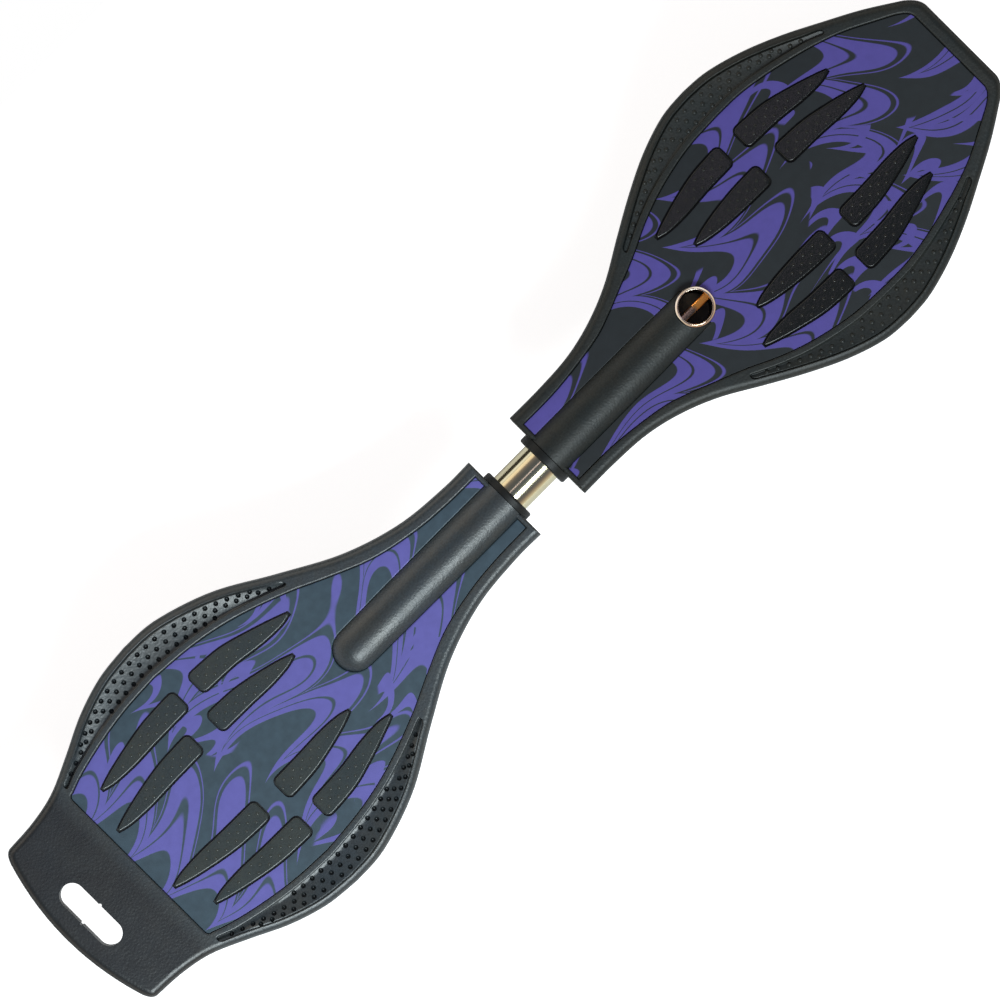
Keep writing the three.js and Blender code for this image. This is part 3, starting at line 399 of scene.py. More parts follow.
def deck_outline(neck, wide, corner, end, flare, taper, corner_share=1, bulge=0):
    neck, wide, corner = np.array((neck, wide, corner), float)

    def tip(y):
        return np.array((end[0] - bulge * (y / corner[1]) ** 2, y))

    middle = np.array((tip(corner[1])[0], end[1] + corner_share * (corner[1] - end[1])))
    tips = [tip(y) for y in end[1] * np.linspace(1, TIP_MIDDLE_SHARE, STEPS.tip)[1:]] if bulge else []
    flare = neck + np.array(flare) * (wide - neck)
    taper = (wide[0], corner[1]) + np.array(taper) * (corner[0] - wide[0], wide[1] - corner[1])
    return symmetric([*spline_through(flare, STEPS.flare), *spline_through(taper, STEPS.taper)[1:],
                      *curve(corner, middle, tip(end[1]), STEPS.corner)[1:], *tips])


def half_width_at(outline, x):
    high = outline[0]
    return np.interp(x, high[:, 0], high[:, 1])


def inset(outline, distance, neck_distance=None):
    """The outline moved inward; its neck edge may move by a distance of its own"""
    high, low = outline
    loop = np.vstack([high, low[::-1]])
    edge = np.roll(loop, -1, axis=0) - loop
    edge /= np.linalg.norm(edge, axis=1, keepdims=True)
    inward = edge[:, ::-1] * (1, -1)
    reach = np.full((len(loop), 1), float(distance))
    if neck_distance is not None:
        reach[-1] = neck_distance
    before, reach_before = np.roll(inward, 1, axis=0), np.roll(reach, 1, axis=0)
    across = (before * inward).sum(1, keepdims=True)
    straight = across > STRAIGHT
    corner = (reach_before - reach * across) * before + (reach - reach_before * across) * inward
    result = loop + np.where(straight, reach * inward, corner / np.where(straight, 1, 1 - across ** 2))
    for _ in range(UNFOLD_ROUNDS):
        turned_back = ((np.roll(result, -1, axis=0) - result) * edge).sum(1) < -TINY
        for i in np.nonzero(turned_back)[0]:
            after = (i + 1) % len(result)
            result[i] = result[after] = (result[i] + result[after]) / 2
    return result[:len(high)], result[len(high):][::-1]


def plate(outline, levels):
    """A closed body through level rings: (inset, height over x) or (inset, height, inset at the neck)"""
    size = 2 * len(outline[0])
    rings = []
    for distance, height, *neck in levels:
        high, low = inset(outline, distance, *neck)
        ring = np.vstack([low, high[::-1]])
        rings.append(np.column_stack([ring, height(ring[:, 0])]))
    top = len(rings) * size - size
    faces = skin(len(rings), size)
    for i in range(size // 2 - 1):
        faces.append((size - 1 - i, size - 2 - i, i + 1, i))
        faces.append((top + size - 2 - i, top + size - 1 - i, top + i, top + i + 1))
    return mesh_from(np.vstack(rings), faces)


def over(deck, height):
    return lambda x: DECK.kick * (x / deck.length) ** 3 + height


def underside(deck, lift):
    thinner = DECK.neck_depth - DECK.tip_depth
    top = over(deck, RIM_ABOVE_TUBE - DECK.neck_depth + lift)
    return lambda x: top(x) + thinner * (x / deck.length) ** 2


def risen(deck, start, low, top, radius, count):
    """Levels up to a rounded edge under a top: turned inward, or outward with a radius below 0"""
    edge = [(start + radius * out, over(deck, top - abs(radius) * down)) for out, down in quarter(count)]
    return [(start, low), *edge]


def opening(deck, outline, low, top, lip):
    """A tool for an opening with a rolled lip"""
    above = (-FIT_GAP - lip, over(deck, RIM_ABOVE_TUBE + OVERRUN))
    return plate(outline, [*risen(deck, -FIT_GAP, over(deck, low), top, -lip, POINTS.lip), above])


# The deck moulding
def deck_blank(deck):
    edge = [(RIM_EDGE_RADIUS * out, over(deck, RIM_ABOVE_TUBE - RIM_EDGE_RADIUS * down),
             max(0, NECK_EDGE_RADIUS - RIM_EDGE_RADIUS * down)) for out, down in quarter(POINTS.rim)]
    foot = [(SKIRT.draft + SKIRT.round * (1 - down), underside(deck, SKIRT.round * out), 0)
            for out, down in quarter(POINTS.small)[::-1]]
    return plate(deck.outline, [*foot, *edge])


def deck_cavity(deck):
    end, wall = deck.length - deck.tip_solid, SKIRT.wall + SKIRT.draft
    high = deck.outline[0]
    outline = symmetric([*high[high[:, 0] < end - LEAST_STEP], (end, half_width_at(deck.outline, end))])
    levels = risen(deck, wall, underside(deck, -OVERRUN), CAVITY_TOP, CAVITY_ROUND, POINTS.small)
    return plate(outline, levels)


def ridge_opening(deck):
    """A tool for the panel's opening round the tube housing"""
    def half_width(x):
        return sqrt(HOUSING_RADIUS ** 2 - float(over(deck, PANEL_TOP)(x)) ** 2)

    radius = half_width(deck.ridge_length)
    centre = deck.ridge_length - radius if deck.domed else deck.ridge_length
    high = [(x, half_width(x)) for x in np.linspace(-OVERRUN, centre, STEPS.ridge)]
    if deck.domed:
        high += [(x, y) for y, x in arc(0, centre, radius, *DOME_OPENING_ANGLES, SIDES.round // 4 - 1)]
    return opening(deck, symmetric(high), RECESS_FLOOR - OVERRUN, PANEL_TOP, deck.ridge_lip)


def rib_lattice(deck):
    low, high = -DECK.neck_depth - HOUSING_RADIUS, DECK.kick + RIM_ABOVE_TUBE
    half, reach = RIB.thickness / 2, deck.length
    places = np.arange(RIB.pitch, reach - deck.tip_solid, RIB.pitch)
    ribs = [box(x - half, x + half, -reach, reach, low, high) for x in places]
    along = [box(0, reach, y - half, y + half, low, high) for y in (-RIB.offset, RIB.offset)]
    return join(together(ribs), together(along))


def tube_housing(deck, start, gap):
    radius, end = HOUSING_RADIUS + gap, deck.ridge_length
    profile = [(0, start), (radius - EDGE_ROUND, start), (radius, start + EDGE_ROUND)]
    if deck.domed:
        profile += arc(0, end - sqrt(HOUSING_RADIUS ** 2 - PANEL_TOP ** 2), radius, 0, pi / 2, STEPS.dome)
    else:
        profile += [(radius, end), (0, end)]
    return moved(turned(profile, SIDES.fine), ALONG_X)


def caster_pedestal(deck):
    half = PLATE.length / 2 * cos(LEAN) + PEDESTAL.margin
    side = PLATE.width / 2 + PEDESTAL.margin
    x0, x1, r = deck.caster_at - half, deck.caster_at + half, PEDESTAL.corner
    high = [*arc(x0 + r, side - r, r, pi, pi / 2), *arc(x1 - r, side - r, r, pi / 2, 0)]
    return plate(symmetric(high), [(0, lambda x: 0 * x - TUBE_HEIGHT),
                                   (-PEDESTAL.draft, over(deck, CAVITY_TOP + DECK.skin / 2))])


def seated_pedestal(deck):
    """The pedestal down to the leaning plane that the mount plate seats on"""
    reach = deck.length
    plane = moved(box(-reach, reach, -reach, reach, -reach, FIT_GAP), deck.caster_matrix)
    return cut(caster_pedestal(deck), plane)


def plate_holes(low, high):
    return [shifted(bar(PLATE_SCREW.radius + FIT_GAP, low, high), x, y) for x, y in PLATE_HOLES]


def caster_bores(deck):
    head = bar(KINGPIN.head_radius + LOOSE_GAP, -OVERRUN, KINGPIN.head_height + LOOSE_GAP)
    return moved(together([head, *plate_holes(-OVERRUN, PLATE_SCREW.reach + FIT_GAP)]), deck.caster_matrix)


def claw_rows(claw, side, length, end):
    """Places along a claw from its blunt end: x, the middle's y and the half width"""
    shares = spline_through(CLAW_SHARES, CLAW.steps)
    angles = np.linspace(CLAW.first_angle, pi, CLAW.end_steps)
    rounded = CLAW.round / 2 * (1 - np.cos(angles)) / length
    rows = []
    for along in np.unique([0, *rounded, *(share for share in shares[:, 0] if share * length > CLAW.round)]):
        drift, half = (np.interp(along, shares[:, 0], shares[:, k]) for k in (1, 2))
        short = max(0, CLAW.round - along * length)
        reach = half * claw.width / 2 - CLAW.round + sqrt(CLAW.round ** 2 - short ** 2)
        x = claw.at + side * (claw.gap / 2 + along * length)
        rows.append((x, claw.middle + drift * (end - claw.middle), reach))
    return np.array(rows[::side])


def claws_of(deck):
    for claw in deck.claws:
        yield claw_rows(claw, 1, *claw.tip)
        yield claw_rows(claw, -1, *claw.neck)


def both_sides(mesh):
    return [mesh, moved(mesh, Matrix.Scale(-1, 4, (0, 1, 0)))]


def claw_bodies(deck, levels):
    bodies = []
    for rows in claws_of(deck):
        x, y, reach = rows.T
        outline = np.column_stack([x, y + reach]), np.column_stack([x, y - reach])
        bodies += both_sides(plate(outline, levels))
    return together(bodies)


def dot(radius, x, y, z, stretch=1):
    profile = [(r, stretch * up) for r, up in arc(0, 0, radius, -pi / 2, pi / 2)]
    return shifted(turned(profile, SIDES.dot), x, y, z)


def claw_dots(deck):
    """Small domes on the claws: one on the middle line, then one each side of it where there is width"""
    sink = CLAW.dot_radius * (1 - DOT_SINK_SHARE)
    height = over(deck, PANEL_TOP + CLAW.proud - sink)
    dots = []
    for rows in claws_of(deck):
        xs, middles, reaches = rows.T
        for k, x in enumerate(np.arange(xs[0] + CLAW.dot_pitch, xs[-1] - CLAW.dot_radius, CLAW.dot_pitch)):
            middle, reach = np.interp(x, xs, middles), np.interp(x, xs, reaches)
            aside = CLAW.dot_spread if k % 2 else 0
            if reach >= aside + 2 * CLAW.dot_radius:
                for y in {middle - aside, middle + aside}:
                    dots += both_sides(dot(CLAW.dot_radius, x, y, float(height(x))))
    return together(dots)


def claw_pads(deck):
    low = over(deck, RECESS_FLOOR - CLAW.sink)
    levels = risen(deck, 0, low, PANEL_TOP + CLAW.proud, CLAW.edge, POINTS.small)
    return join(claw_bodies(deck, levels), claw_dots(deck))


def claw_openings(deck):
    low, high = over(deck, RECESS_FLOOR - CLAW.sink), over(deck, RIM_ABOVE_TUBE + OVERRUN)
    return claw_bodies(deck, [(-CLAW.gap, low), (-CLAW.gap, high)])


def crescent_edges(deck, x):
    """A channel's inner and outer y at x, narrowing to blunt ends"""
    outer = half_width_at(inset(deck.outline, CRESCENT.outer_inset), x)
    inner = half_width_at(inset(deck.panel, -CRESCENT.inner_offset), x)
    start, end = deck.crescent
    short = np.clip(1 - np.minimum(x - start, end - x) / CRESCENT.end_round, 0, 1)
    half = np.maximum(outer - inner, CRESCENT.end_width) / 2 * np.sqrt(1 - short ** 2)
    return (inner + outer) / 2 - half, (inner + outer) / 2 + half


def crescent_depth(deck, across, groove):
    """How deep the channel lies at a share of its width: it climbs to a groove along the outer edge"""
    deep, shallow = deck.crescent_depths
    climb = np.clip((across - CRESCENT.turn) / (1 - CRESCENT.turn), 0, 1) ** CRESCENT.climb_power
    foot = np.clip(1 - across / CRESCENT.turn, 0, 1)
    drop = np.clip(1 - (1 - across) / groove, 0, 1)
    return deep - (deep - shallow) * climb - shallow * foot ** 2 + CRESCENT.groove_depth * drop


def crescent_channel(deck):
    start, end = deck.crescent
    swing = np.cos(np.linspace(pi, 0, CRESCENT.steps + 1)[1:-1])
    rings = []
    for x in (start + end) / 2 + swing * (end - start) / 2:
        inner, outer = crescent_edges(deck, x)
        rim = float(over(deck, RIM_ABOVE_TUBE)(x))
        groove = min(CRESCENT.groove_most, CRESCENT.groove_width / (outer - inner))
        shares = [*np.linspace(0, 1 - groove, CRESCENT.floor_steps), 1 - groove / 2, 1]
        floor = [(x, inner + s * (outer - inner), rim - crescent_depth(deck, s, groove)) for s in shares]
        narrow = min(1, (outer - inner) / (2 * CRESCENT.outer_fillet))
        high, low = ([(x, edge + side * narrow * out, rim - abs(side) * narrow * down)
                      for out, down in quarter(POINTS.small, CRESCENT.lip_start)]
                     for edge, side in ((outer, CRESCENT.outer_fillet), (inner, -CRESCENT.inner_fillet)))
        above = [(x, lip[-1][1], rim + OVERRUN) for lip in (high, low)]
        rings.append([*floor, *high, *above, *low[::-1]])
    return both_sides(lofted(rings))


def crescent_dots(deck):
    start, end = deck.crescent
    xs = np.linspace(start, end, CRESCENT.dot_samples)
    inner, outer = crescent_edges(deck, xs)
    middle = (inner + outer) / 2
    along = np.concatenate([[0], np.cumsum(np.hypot(np.diff(xs), np.diff(middle)))])
    radius, lift, stretch = DIMPLE if deck.dimpled else BUMP
    rim = over(deck, RIM_ABOVE_TUBE)
    dots = []
    for row, share in enumerate(CRESCENT.rows):
        first = CRESCENT.dot_pitch * (2 + row % 2) / 2
        for place in np.arange(first, along[-1] - CRESCENT.dot_pitch / 2, CRESCENT.dot_pitch):
            x = np.interp(place, along, xs)
            low, high = crescent_edges(deck, x)
            if min(share, 1 - share) * (high - low) >= radius:
                z = float(rim(x)) - crescent_depth(deck, share, FIT_GAP) + lift * radius
                dots += both_sides(dot(radius, x, low + share * (high - low), z, stretch))
    return together(dots)


def carry_slot(deck):
    half, reach = SLOT.width / 2, SLOT.length / 2 - SLOT.width / 2
    stadium = [*arc(0, reach, half, 0, pi, STEPS.slot), *arc(0, -reach, half, pi, 2 * pi, STEPS.slot)]
    low, high = -DECK.neck_depth, DECK.kick + RIM_ABOVE_TUBE + OVERRUN
    notches = [shifted(bar(SLOT.notch, low, high), x) for x in (-half, half)]
    return shifted(join(prism(stadium, low, high), *notches), deck.length - SLOT.from_tip)


def spread(start, length, shares):
    return [start + share * length for share in shares]


def screw_bars(places, radius, low, high, sides=SIDES.screw):
    return [shifted(bar(radius, low, high, sides), x) for x in places]


def screw_bosses(places):
    return join(*screw_bars(places, SCREW.boss_radius, BOSS_FACE, -BUSH.bore_radius, SIDES.round))


def screw_bores(places):
    return together(screw_bars(places, SCREW.radius + FIT_GAP, BOSS_FACE - OVERRUN, 0))


def sleeve_bar(gap, low, high):
    return shifted(bar(SLEEVE.radius + gap, low, high, SIDES.fine), FRONT_RIDGE_LENGTH)


def deck_moulding(deck):
    housing = tube_housing(deck, 0, 0)
    kept = join(rib_lattice(deck), housing, caster_pedestal(deck))
    shell = cut(deck_blank(deck), cut(deck_cavity(deck), kept),
                opening(deck, deck.panel, RECESS_FLOOR, RIM_ABOVE_TUBE, RECESS_LIP))
    whole = join(shell, housing, *deck.bosses, seated_pedestal(deck))
    whole = cut(whole, caster_bores(deck), *crescent_channel(deck), *deck.cuts)
    dots = crescent_dots(deck)
    return cut(whole, dots) if deck.dimpled else join(whole, dots)


def panel_insert(deck):
    low = over(deck, RECESS_FLOOR + FIT_GAP)
    blank = plate(deck.panel, risen(deck, 0, low, PANEL_TOP, PANEL.edge, POINTS.panel))
    return cut(blank, tube_housing(deck, -OVERRUN, FIT_GAP), ridge_opening(deck), claw_openings(deck),
               *deck.panel_cuts)


# The mechanism between the decks
def neck_collar(proud):
    inner = TUBE.radius + FIT_GAP
    outer, edge = COLLAR.radius, COLLAR.edge
    rolled = [(outer - edge * down, edge * out - proud) for out, down in quarter(POINTS.rim)]
    profile = [(inner + EDGE_ROUND, -proud), *rolled, (outer, -MERGE), (BUSH.radius, -MERGE),
               (BUSH.radius, COLLAR.spigot), (inner, COLLAR.spigot), (inner, EDGE_ROUND - proud)]
    return moved(turned(profile, SIDES.fine, closed=True), ALONG_X)


def torsion_tube():
    end = TUBE.in_rear_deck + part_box("torsion_tube")[1].x / MM - REAR_NECK_X
    inner, outer = TUBE.radius - TUBE.wall, TUBE.radius
    body = rounded_ring([(inner, 0), (outer, 0), (outer, end), (inner, end)], TUBE.end_round, SIDES.fine)
    places = spread(end - TUBE.in_front_deck, TUBE.in_front_deck, TUBE.screw_shares)
    holes = screw_bars(places, SCREW.radius + FIT_GAP, -HOUSING_RADIUS, 0)
    return shifted(cut(moved(body, ALONG_X), together(holes)), -TUBE.in_rear_deck)


def lock_sleeve():
    low, top = SLEEVE_BOTTOM, HOUSING_RADIUS + SLEEVE.proud
    inner, outer, half = SLEEVE.bore_radius, SLEEVE.radius, ROD.half + ROD.slot_gap
    profile = [(inner, low), (outer, low), (outer, top - SLEEVE.cone_drop), (outer - SLEEVE.cone_width, top),
               (inner, top)]
    ring = rounded_ring(profile, SLEEVE.edge, SIDES.fine)
    return cut(ring, box(-outer - OVERRUN, outer, -half, half, -half, half))


def torsion_rod():
    """A round spring rod whose last stretch is square with rounded edges, across the sleeve's bore"""
    start, end = (side.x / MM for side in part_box("torsion_rod"))
    half, round_end = ROD.half, end - ROD.key_length
    section = filleted([(half, -half), (half, half), (-half, half), (-half, -half)], ROD.edge, closed=True)
    round_rod = bar(ROD.radius, start, round_end, edge=EDGE_ROUND)
    return moved(join(round_rod, prism(section, round_end - OVERRUN, end)), ALONG_X)


# Screws, bolts and nuts
def pan_screw(size, seat, end):
    """A cross-headed screw with its head below the seat and its shank up to its end"""
    head, height = size.head_radius, size.head_height
    dome = [(head * (1 - down), seat - height * (1 - SCREW.dome * out)) for out, down in quarter(POINTS.rim)]
    body = turned([*dome, (head, seat), (size.radius, seat), (size.radius, end), (0, end)], SIDES.screw)
    low, long = seat - height - EDGE_ROUND, head * CROSS.width / 2
    arms = [box(-x, x, -y, y, low, low + height * CROSS.depth)
            for x, y in ((long, long / CROSS.slimness), (long / CROSS.slimness, long))]
    return cut(body, join(*arms))


def bolt(size, head_start, head_end, start, end):
    head = hexagon(size.head_radius, head_start, head_end)
    return join(head, bar(size.radius, start, end, edge=EDGE_ROUND))


def kingpin():
    end = CROWN_BOTTOM - FIT_GAP - KINGPIN.nut_height - KINGPIN.tail
    return bolt(KINGPIN, FIT_GAP, KINGPIN.head_height, end, KINGPIN.head_height / 2)


def axle_bolt():
    face = FORK_OUTER + FIT_GAP
    end = face + AXLE.nut_height + AXLE.tail
    return bolt(AXLE, -face - AXLE.head_height, -face, -FORK_OUTER - AXLE.head_height / 2, end)


def nut(size, start):
    end = start + size.nut_height
    bore = bar(size.radius + FIT_GAP, start - OVERRUN, end + OVERRUN)
    return cut(hexagon(size.head_radius, start, end), bore)


# The caster
def mount_plate():
    half = PLATE.length / 2
    blank = prism(rounded_rectangle(-half, half, PLATE.width / 2, PLATE.corner), -PLATE.thickness, 0)
    centre = bar(KINGPIN.radius + FIT_GAP, -OVERRUN, OVERRUN)
    return cut(bevelled(blank), together([centre, *plate_holes(-OVERRUN, OVERRUN)]))


def thrust_bearing():
    inner, outer, waist = KINGPIN.radius + FIT_GAP, THRUST.radius, THRUST.radius - THRUST.groove
    low = THRUST_TOP - THRUST.height
    start, end = ((THRUST_TOP + low) / 2 + side for side in (-THRUST.groove, THRUST.groove))
    return rounded_ring([(inner, low), (outer, low), (outer, start), (waist, start), (waist, end),
                         (outer, end), (outer, THRUST_TOP), (inner, THRUST_TOP)], EDGE_ROUND)


def fork():
    plan = rounded_rectangle(-CROWN.back, CROWN.front, FORK_OUTER, CROWN.corner)
    crown = bevelled(prism(plan, CROWN_BOTTOM, CROWN_TOP))
    side = [(-CROWN.back + LEG.shoulder / 2, CROWN_TOP), (-CROWN.back, CROWN_TOP - LEG.shoulder),
            *arc(-FORK.rake, -FORK_DROP, AXLE.eye_radius, pi, AXLE.eye_end, STEPS.eye),
            (CROWN.front - LEG.shoulder, CROWN_TOP - LEG.shoulder), (CROWN.front - LEG.shoulder, CROWN_TOP)]
    leg = moved(bevelled(prism(side, -FORK_OUTER, -FORK_INNER)), turn(pi / 2, "X"))
    eye = at(-FORK.rake, 0, -FORK_DROP) @ ALONG_Y
    boss = moved(bar(BEARING.bore_radius + RACE.wall, WHEEL.width / 2, FORK_INNER + LEG.thickness / 2), eye)
    axle = moved(bar(AXLE.radius + FIT_GAP, -FORK_OUTER - OVERRUN, FORK_OUTER + OVERRUN), eye)
    pin = bar(KINGPIN.radius + FIT_GAP, CROWN_BOTTOM - OVERRUN, CROWN_TOP + OVERRUN)
    return cut(join(crown, together(both_sides(leg)), together(both_sides(boss))), axle, pin)


# The wheel, turned round Z here and laid along the axle afterwards
def two_faced(right):
    """A profile of one face, and the same again mirrored for the other"""
    return [*right, *((r, -z) for r, z in right[::-1])]


def tyre():
    inner, half, curve_radius = WHEEL.radius - TYRE.wall + FIT_GAP, WHEEL.width / 2, TYRE.shoulder
    shoulder = [(WHEEL.radius - curve_radius * down, half - curve_radius * out)
                for out, down in quarter(POINTS.shoulder)]
    groove = [(inner + along, half - depth) for along, depth in TYRE_GROOVE]
    return turned(two_faced([*groove, *shoulder]), SIDES.fine, closed=True)


def hub():
    outer, half, seat = WHEEL.radius - TYRE.wall, WHEEL.width / 2, BEARING.radius + FIT_GAP
    shoulder, web = half - BEARING.width - LOOSE_GAP, half - HUB.web_recess
    wall, rim = seat + HUB.seat_wall, outer - HUB.rim_wall
    right = [(BEARING.bore_radius + RACE.wall + LOOSE_GAP, shoulder), (seat, shoulder), (seat, half),
             (wall, half), (wall, web), (rim, web), (rim, half), (outer, half)]
    blank = rounded_ring(two_faced(right), EDGE_ROUND, SIDES.fine)
    window = shifted(bar(HUB.window_radius, -WHEEL.width, WHEEL.width), (wall + rim) / 2)
    windows = [moved(window, turn(2 * pi * i / HUB.windows, "Z")) for i in range(HUB.windows)]
    return cut(blank, together(windows))


def ball_bearing(side):
    face = WHEEL.width / 2 - FIT_GAP
    back, shield = face - BEARING.width, face - RACE.shield_drop
    inner, outer, inside, outside = BEARING.bore_radius, BEARING.radius, RACE.wall, RACE.wall / 2
    profile = [(inner, back), (outer, back), (outer, face), (outer - outside, face),
               (outer - outside, shield), (inner + inside, shield), (inner + inside, face), (inner, face)]
    body = rounded_ring(profile, RACE.edge)
    return body if side > 0 else moved(body, turn(pi, "X"))


# Shader helpers. Coordinates are the piece's own, in metres
class Shader:
    """The node tree of a material or world, with short calls for the nodes that these use"""

    def __init__(self, owner):
        owner.use_nodes = True
        self.owner, self.tree = owner, owner.node_tree
        self.surface = self.tree.nodes.get("Principled BSDF")
        self.place = self.node("TexCoord").outputs["Object"]

    def node(self, kind, inputs=None, **settings):
        node = self.tree.nodes.new("ShaderNode" + kind)
        for name, value in settings.items():
            setattr(node, name, value)
        for key, value in (inputs or {}).items():
            self.feed(node.inputs[key], value)
        return node

    def feed(self, socket, value):
        if isinstance(value, bpy.types.NodeSocket):
            self.tree.links.new(value, socket)
        else:
            socket.default_value = value

    def math(self, operation, *values, clamp=False):
        return self.node("Math", dict(enumerate(values)), operation=operation, use_clamp=clamp).outputs[0]

    def scaled(self, value, factor, plus=0.0):
        return self.math("ADD", self.math("MULTIPLY", value, factor), plus)

    def along(self, place, axis):
        return self.node("SeparateXYZ", {0: place}).outputs[axis]

    def painted_crevice_shade(self, distance, most, least, share):
        """Painted shade: a share where a surface is closed in by others, none where it is open"""
        open_share = self.node("AmbientOcclusion", {"Distance": distance}, samples=4).outputs["AO"]
        return self.ramp(open_share, (most, share), (least, 0.0))

    def noise(self, scale, detail=2.0, roughness=0.5, distortion=0.0, place=None):
        return self.node("TexNoise", {"Vector": place or self.place, "Scale": scale, "Detail": detail,
                                      "Roughness": roughness, "Distortion": distortion}).outputs["Fac"]

    def ramp(self, value, *stops):
        """Straight lines through (value, result) stops"""
        node = self.node("ValToRGB", {"Fac": value})
        elements = node.color_ramp.elements
        for i, (place, result) in enumerate(stops):
            element = elements[i] if i < 2 else elements.new(place)
            element.position = place
            element.color = (*result, 1) if isinstance(result, tuple) else (result, result, result, 1)
        return node.outputs["Color"]

    def step(self, value, low, high):
        return self.ramp(value, (low, 0.0), (high, 1.0))

    def mix(self, share, a, b):
        node = self.node("Mix", data_type="RGBA")
        self.feed(node.inputs["Factor"], share)
        self.feed(node.inputs["A"], colour(a))
        self.feed(node.inputs["B"], colour(b))
        return node.outputs["Result"]

    def bump(self, height, distance, strength=1.0, before=None):
        inputs = {"Height": height, "Distance": distance, "Strength": strength}
        if before is not None:
            inputs["Normal"] = before
        return self.node("Bump", inputs).outputs["Normal"]

    def finish(self, **inputs):
        for key, value in inputs.items():
            self.feed(self.surface.inputs[key.replace("_", " ")], colour(value))
        return self.owner


def material(name):
    return Shader(bpy.data.materials.new(name))


def colour(value):
    return (*value, 1) if isinstance(value, tuple) and len(value) == 3 else value


def shade(value, factor):
    return tuple(factor * c for c in value)


def shade_of(s, tone, factor):
    """A socket's colour made lighter or darker"""
    return s.node("VectorMath", {0: tone, "Scale": factor}, operation="SCALE").outputs[0]


def srgb(red, green, blue):
    """A colour as seen, to the linear values that a shader takes"""
    return tuple(c / 12.92 if c <= 0.04045 else ((c + 0.055) / 1.055) ** 2.4
                 for c in (red / 255, green / 255, blue / 255))


def moulded(name, base, rough, other=None, grain=0.00016, grain_scale=650, speckle=0.3, sheen=0.5,
            tail=None):
    """Moulded plastic: pebble grain, clouds of a second tone, painted shade in gaps and on the tail, rubbed spots
    """
    s = material(name)
    other = other or shade(base, 1.2)
    cells = s.node("TexVoronoi", {"Vector": s.place, "Scale": grain_scale}, feature="SMOOTH_F1")
    pebble = cells.outputs["Distance"]
    fine = s.noise(800, 3, 0.7)
    clouds = s.scaled(s.noise(26, 3, 0.6), 0.65, s.scaled(s.noise(170, 3, 0.6), 0.35))
    tone = s.mix(s.step(clouds, 0.38, 0.62), base, other)
    tone = s.mix(s.step(fine, 0.35, 0.65), shade_of(s, tone, 1 - speckle), shade_of(s, tone, 1 + speckle))
    # Painted shade: the tail darker in place of a duller sheen
    if tail is not None:
        beyond = s.math("SUBTRACT", tail, s.along(s.place, "X"))
        share = s.math("DIVIDE", beyond, TAIL.blend * MM, clamp=True)
        tone = s.mix(share, tone, shade_of(s, tone, TAIL.shade))
    # Painted shade: darker where the surface is closed in by other parts
    tone = s.mix(s.painted_crevice_shade(0.003, 0.3, 0.75, 0.75), tone, shade(base, 0.08))
    tone = s.mix(s.ramp(s.noise(130, 5, 0.7), (0.62, 0.0), (0.78, 0.2)), tone, shade(other, 2.2))
    return s.finish(Base_Color=tone, Roughness=s.scaled(s.noise(60, 3, 0.6), 0.16, rough - 0.08),
                    Normal=s.bump(s.scaled(pebble, 0.8, s.scaled(fine, 0.5)), grain, 0.8), IOR=1.5,
                    Specular_IOR_Level=sheen)


def metal(name, base, rough, scratches=0.25, tint=None):
    """Plated or polished metal: drawn streaks along X, haze and a few fine scratches"""
    s = material(name)
    stretched = s.node("Mapping", {"Vector": s.place, "Scale": (30, 900, 900)}).outputs["Vector"]
    streaks = s.noise(1.0, 4, 0.6, place=stretched)
    haze = s.noise(70, 4, 0.6)
    gloss = s.math("ADD", s.ramp(haze, (0.35, 0.0), (0.8, scratches * 0.3)), rough)
    tone = s.mix(s.step(haze, 0.3, 0.7), base, tint or shade(base, 0.86))
    return s.finish(Base_Color=tone, Roughness=gloss, Metallic=1.0,
                    Normal=s.bump(streaks, 0.00002, scratches))


def steel_with_painted_dark_end(name, brown, copper, x):
    """Spring steel: a dark brown towards the neck, painted as the dark reflection seen on that half, and a rougher
    straw to copper past x
    """
    s = material(name)
    share = s.scaled(s.math("SUBTRACT", s.along(s.place, "X"), x), 250, s.noise(400, 3))
    # Painted reflection: the neck half darker brown
    tone = s.mix(s.step(share, 0.2, 0.8), brown, copper)
    mottled = s.mix(s.step(s.noise(900, 3), 0.35, 0.65), shade_of(s, tone, 0.8), tone)
    gloss = s.ramp(share, (0.2, 0.16), (0.8, 0.42))
    return s.finish(Base_Color=mottled, Roughness=gloss, Metallic=1.0,
                    Normal=s.bump(s.noise(1500, 3), 0.00003, 0.5))


def tongues(s, place, row, width, reach, bend):
    """Rows of bent, pointed tongues along x: a saw of 0 to 1 that starts again at every row's edge"""
    x, y = s.along(place, "X"), s.along(place, "Y")
    sway = s.scaled(s.math("SINE", s.scaled(x, 2 * pi / (1.7 * row))), bend, y)
    point = s.math("POWER", s.math("ABSOLUTE", s.math("SINE", s.scaled(sway, pi / width))), 0.75)
    along = s.math("ADD", x, s.scaled(s.noise(9.0, 1.0, place=place), 1.6 * row))
    return s.math("FRACT", s.scaled(s.scaled(s.math("SUBTRACT", 1.0, point), reach, along), 1 / row))


def within(s, value, low, high, edge=0.006):
    """1 where a value lies between two others, with a crisp edge"""
    return s.ramp(value, (max(low - edge, 0), 0.0), (low + edge, 1.0), (high - edge, 1.0),
                  (min(high + edge, 1), 0.0))


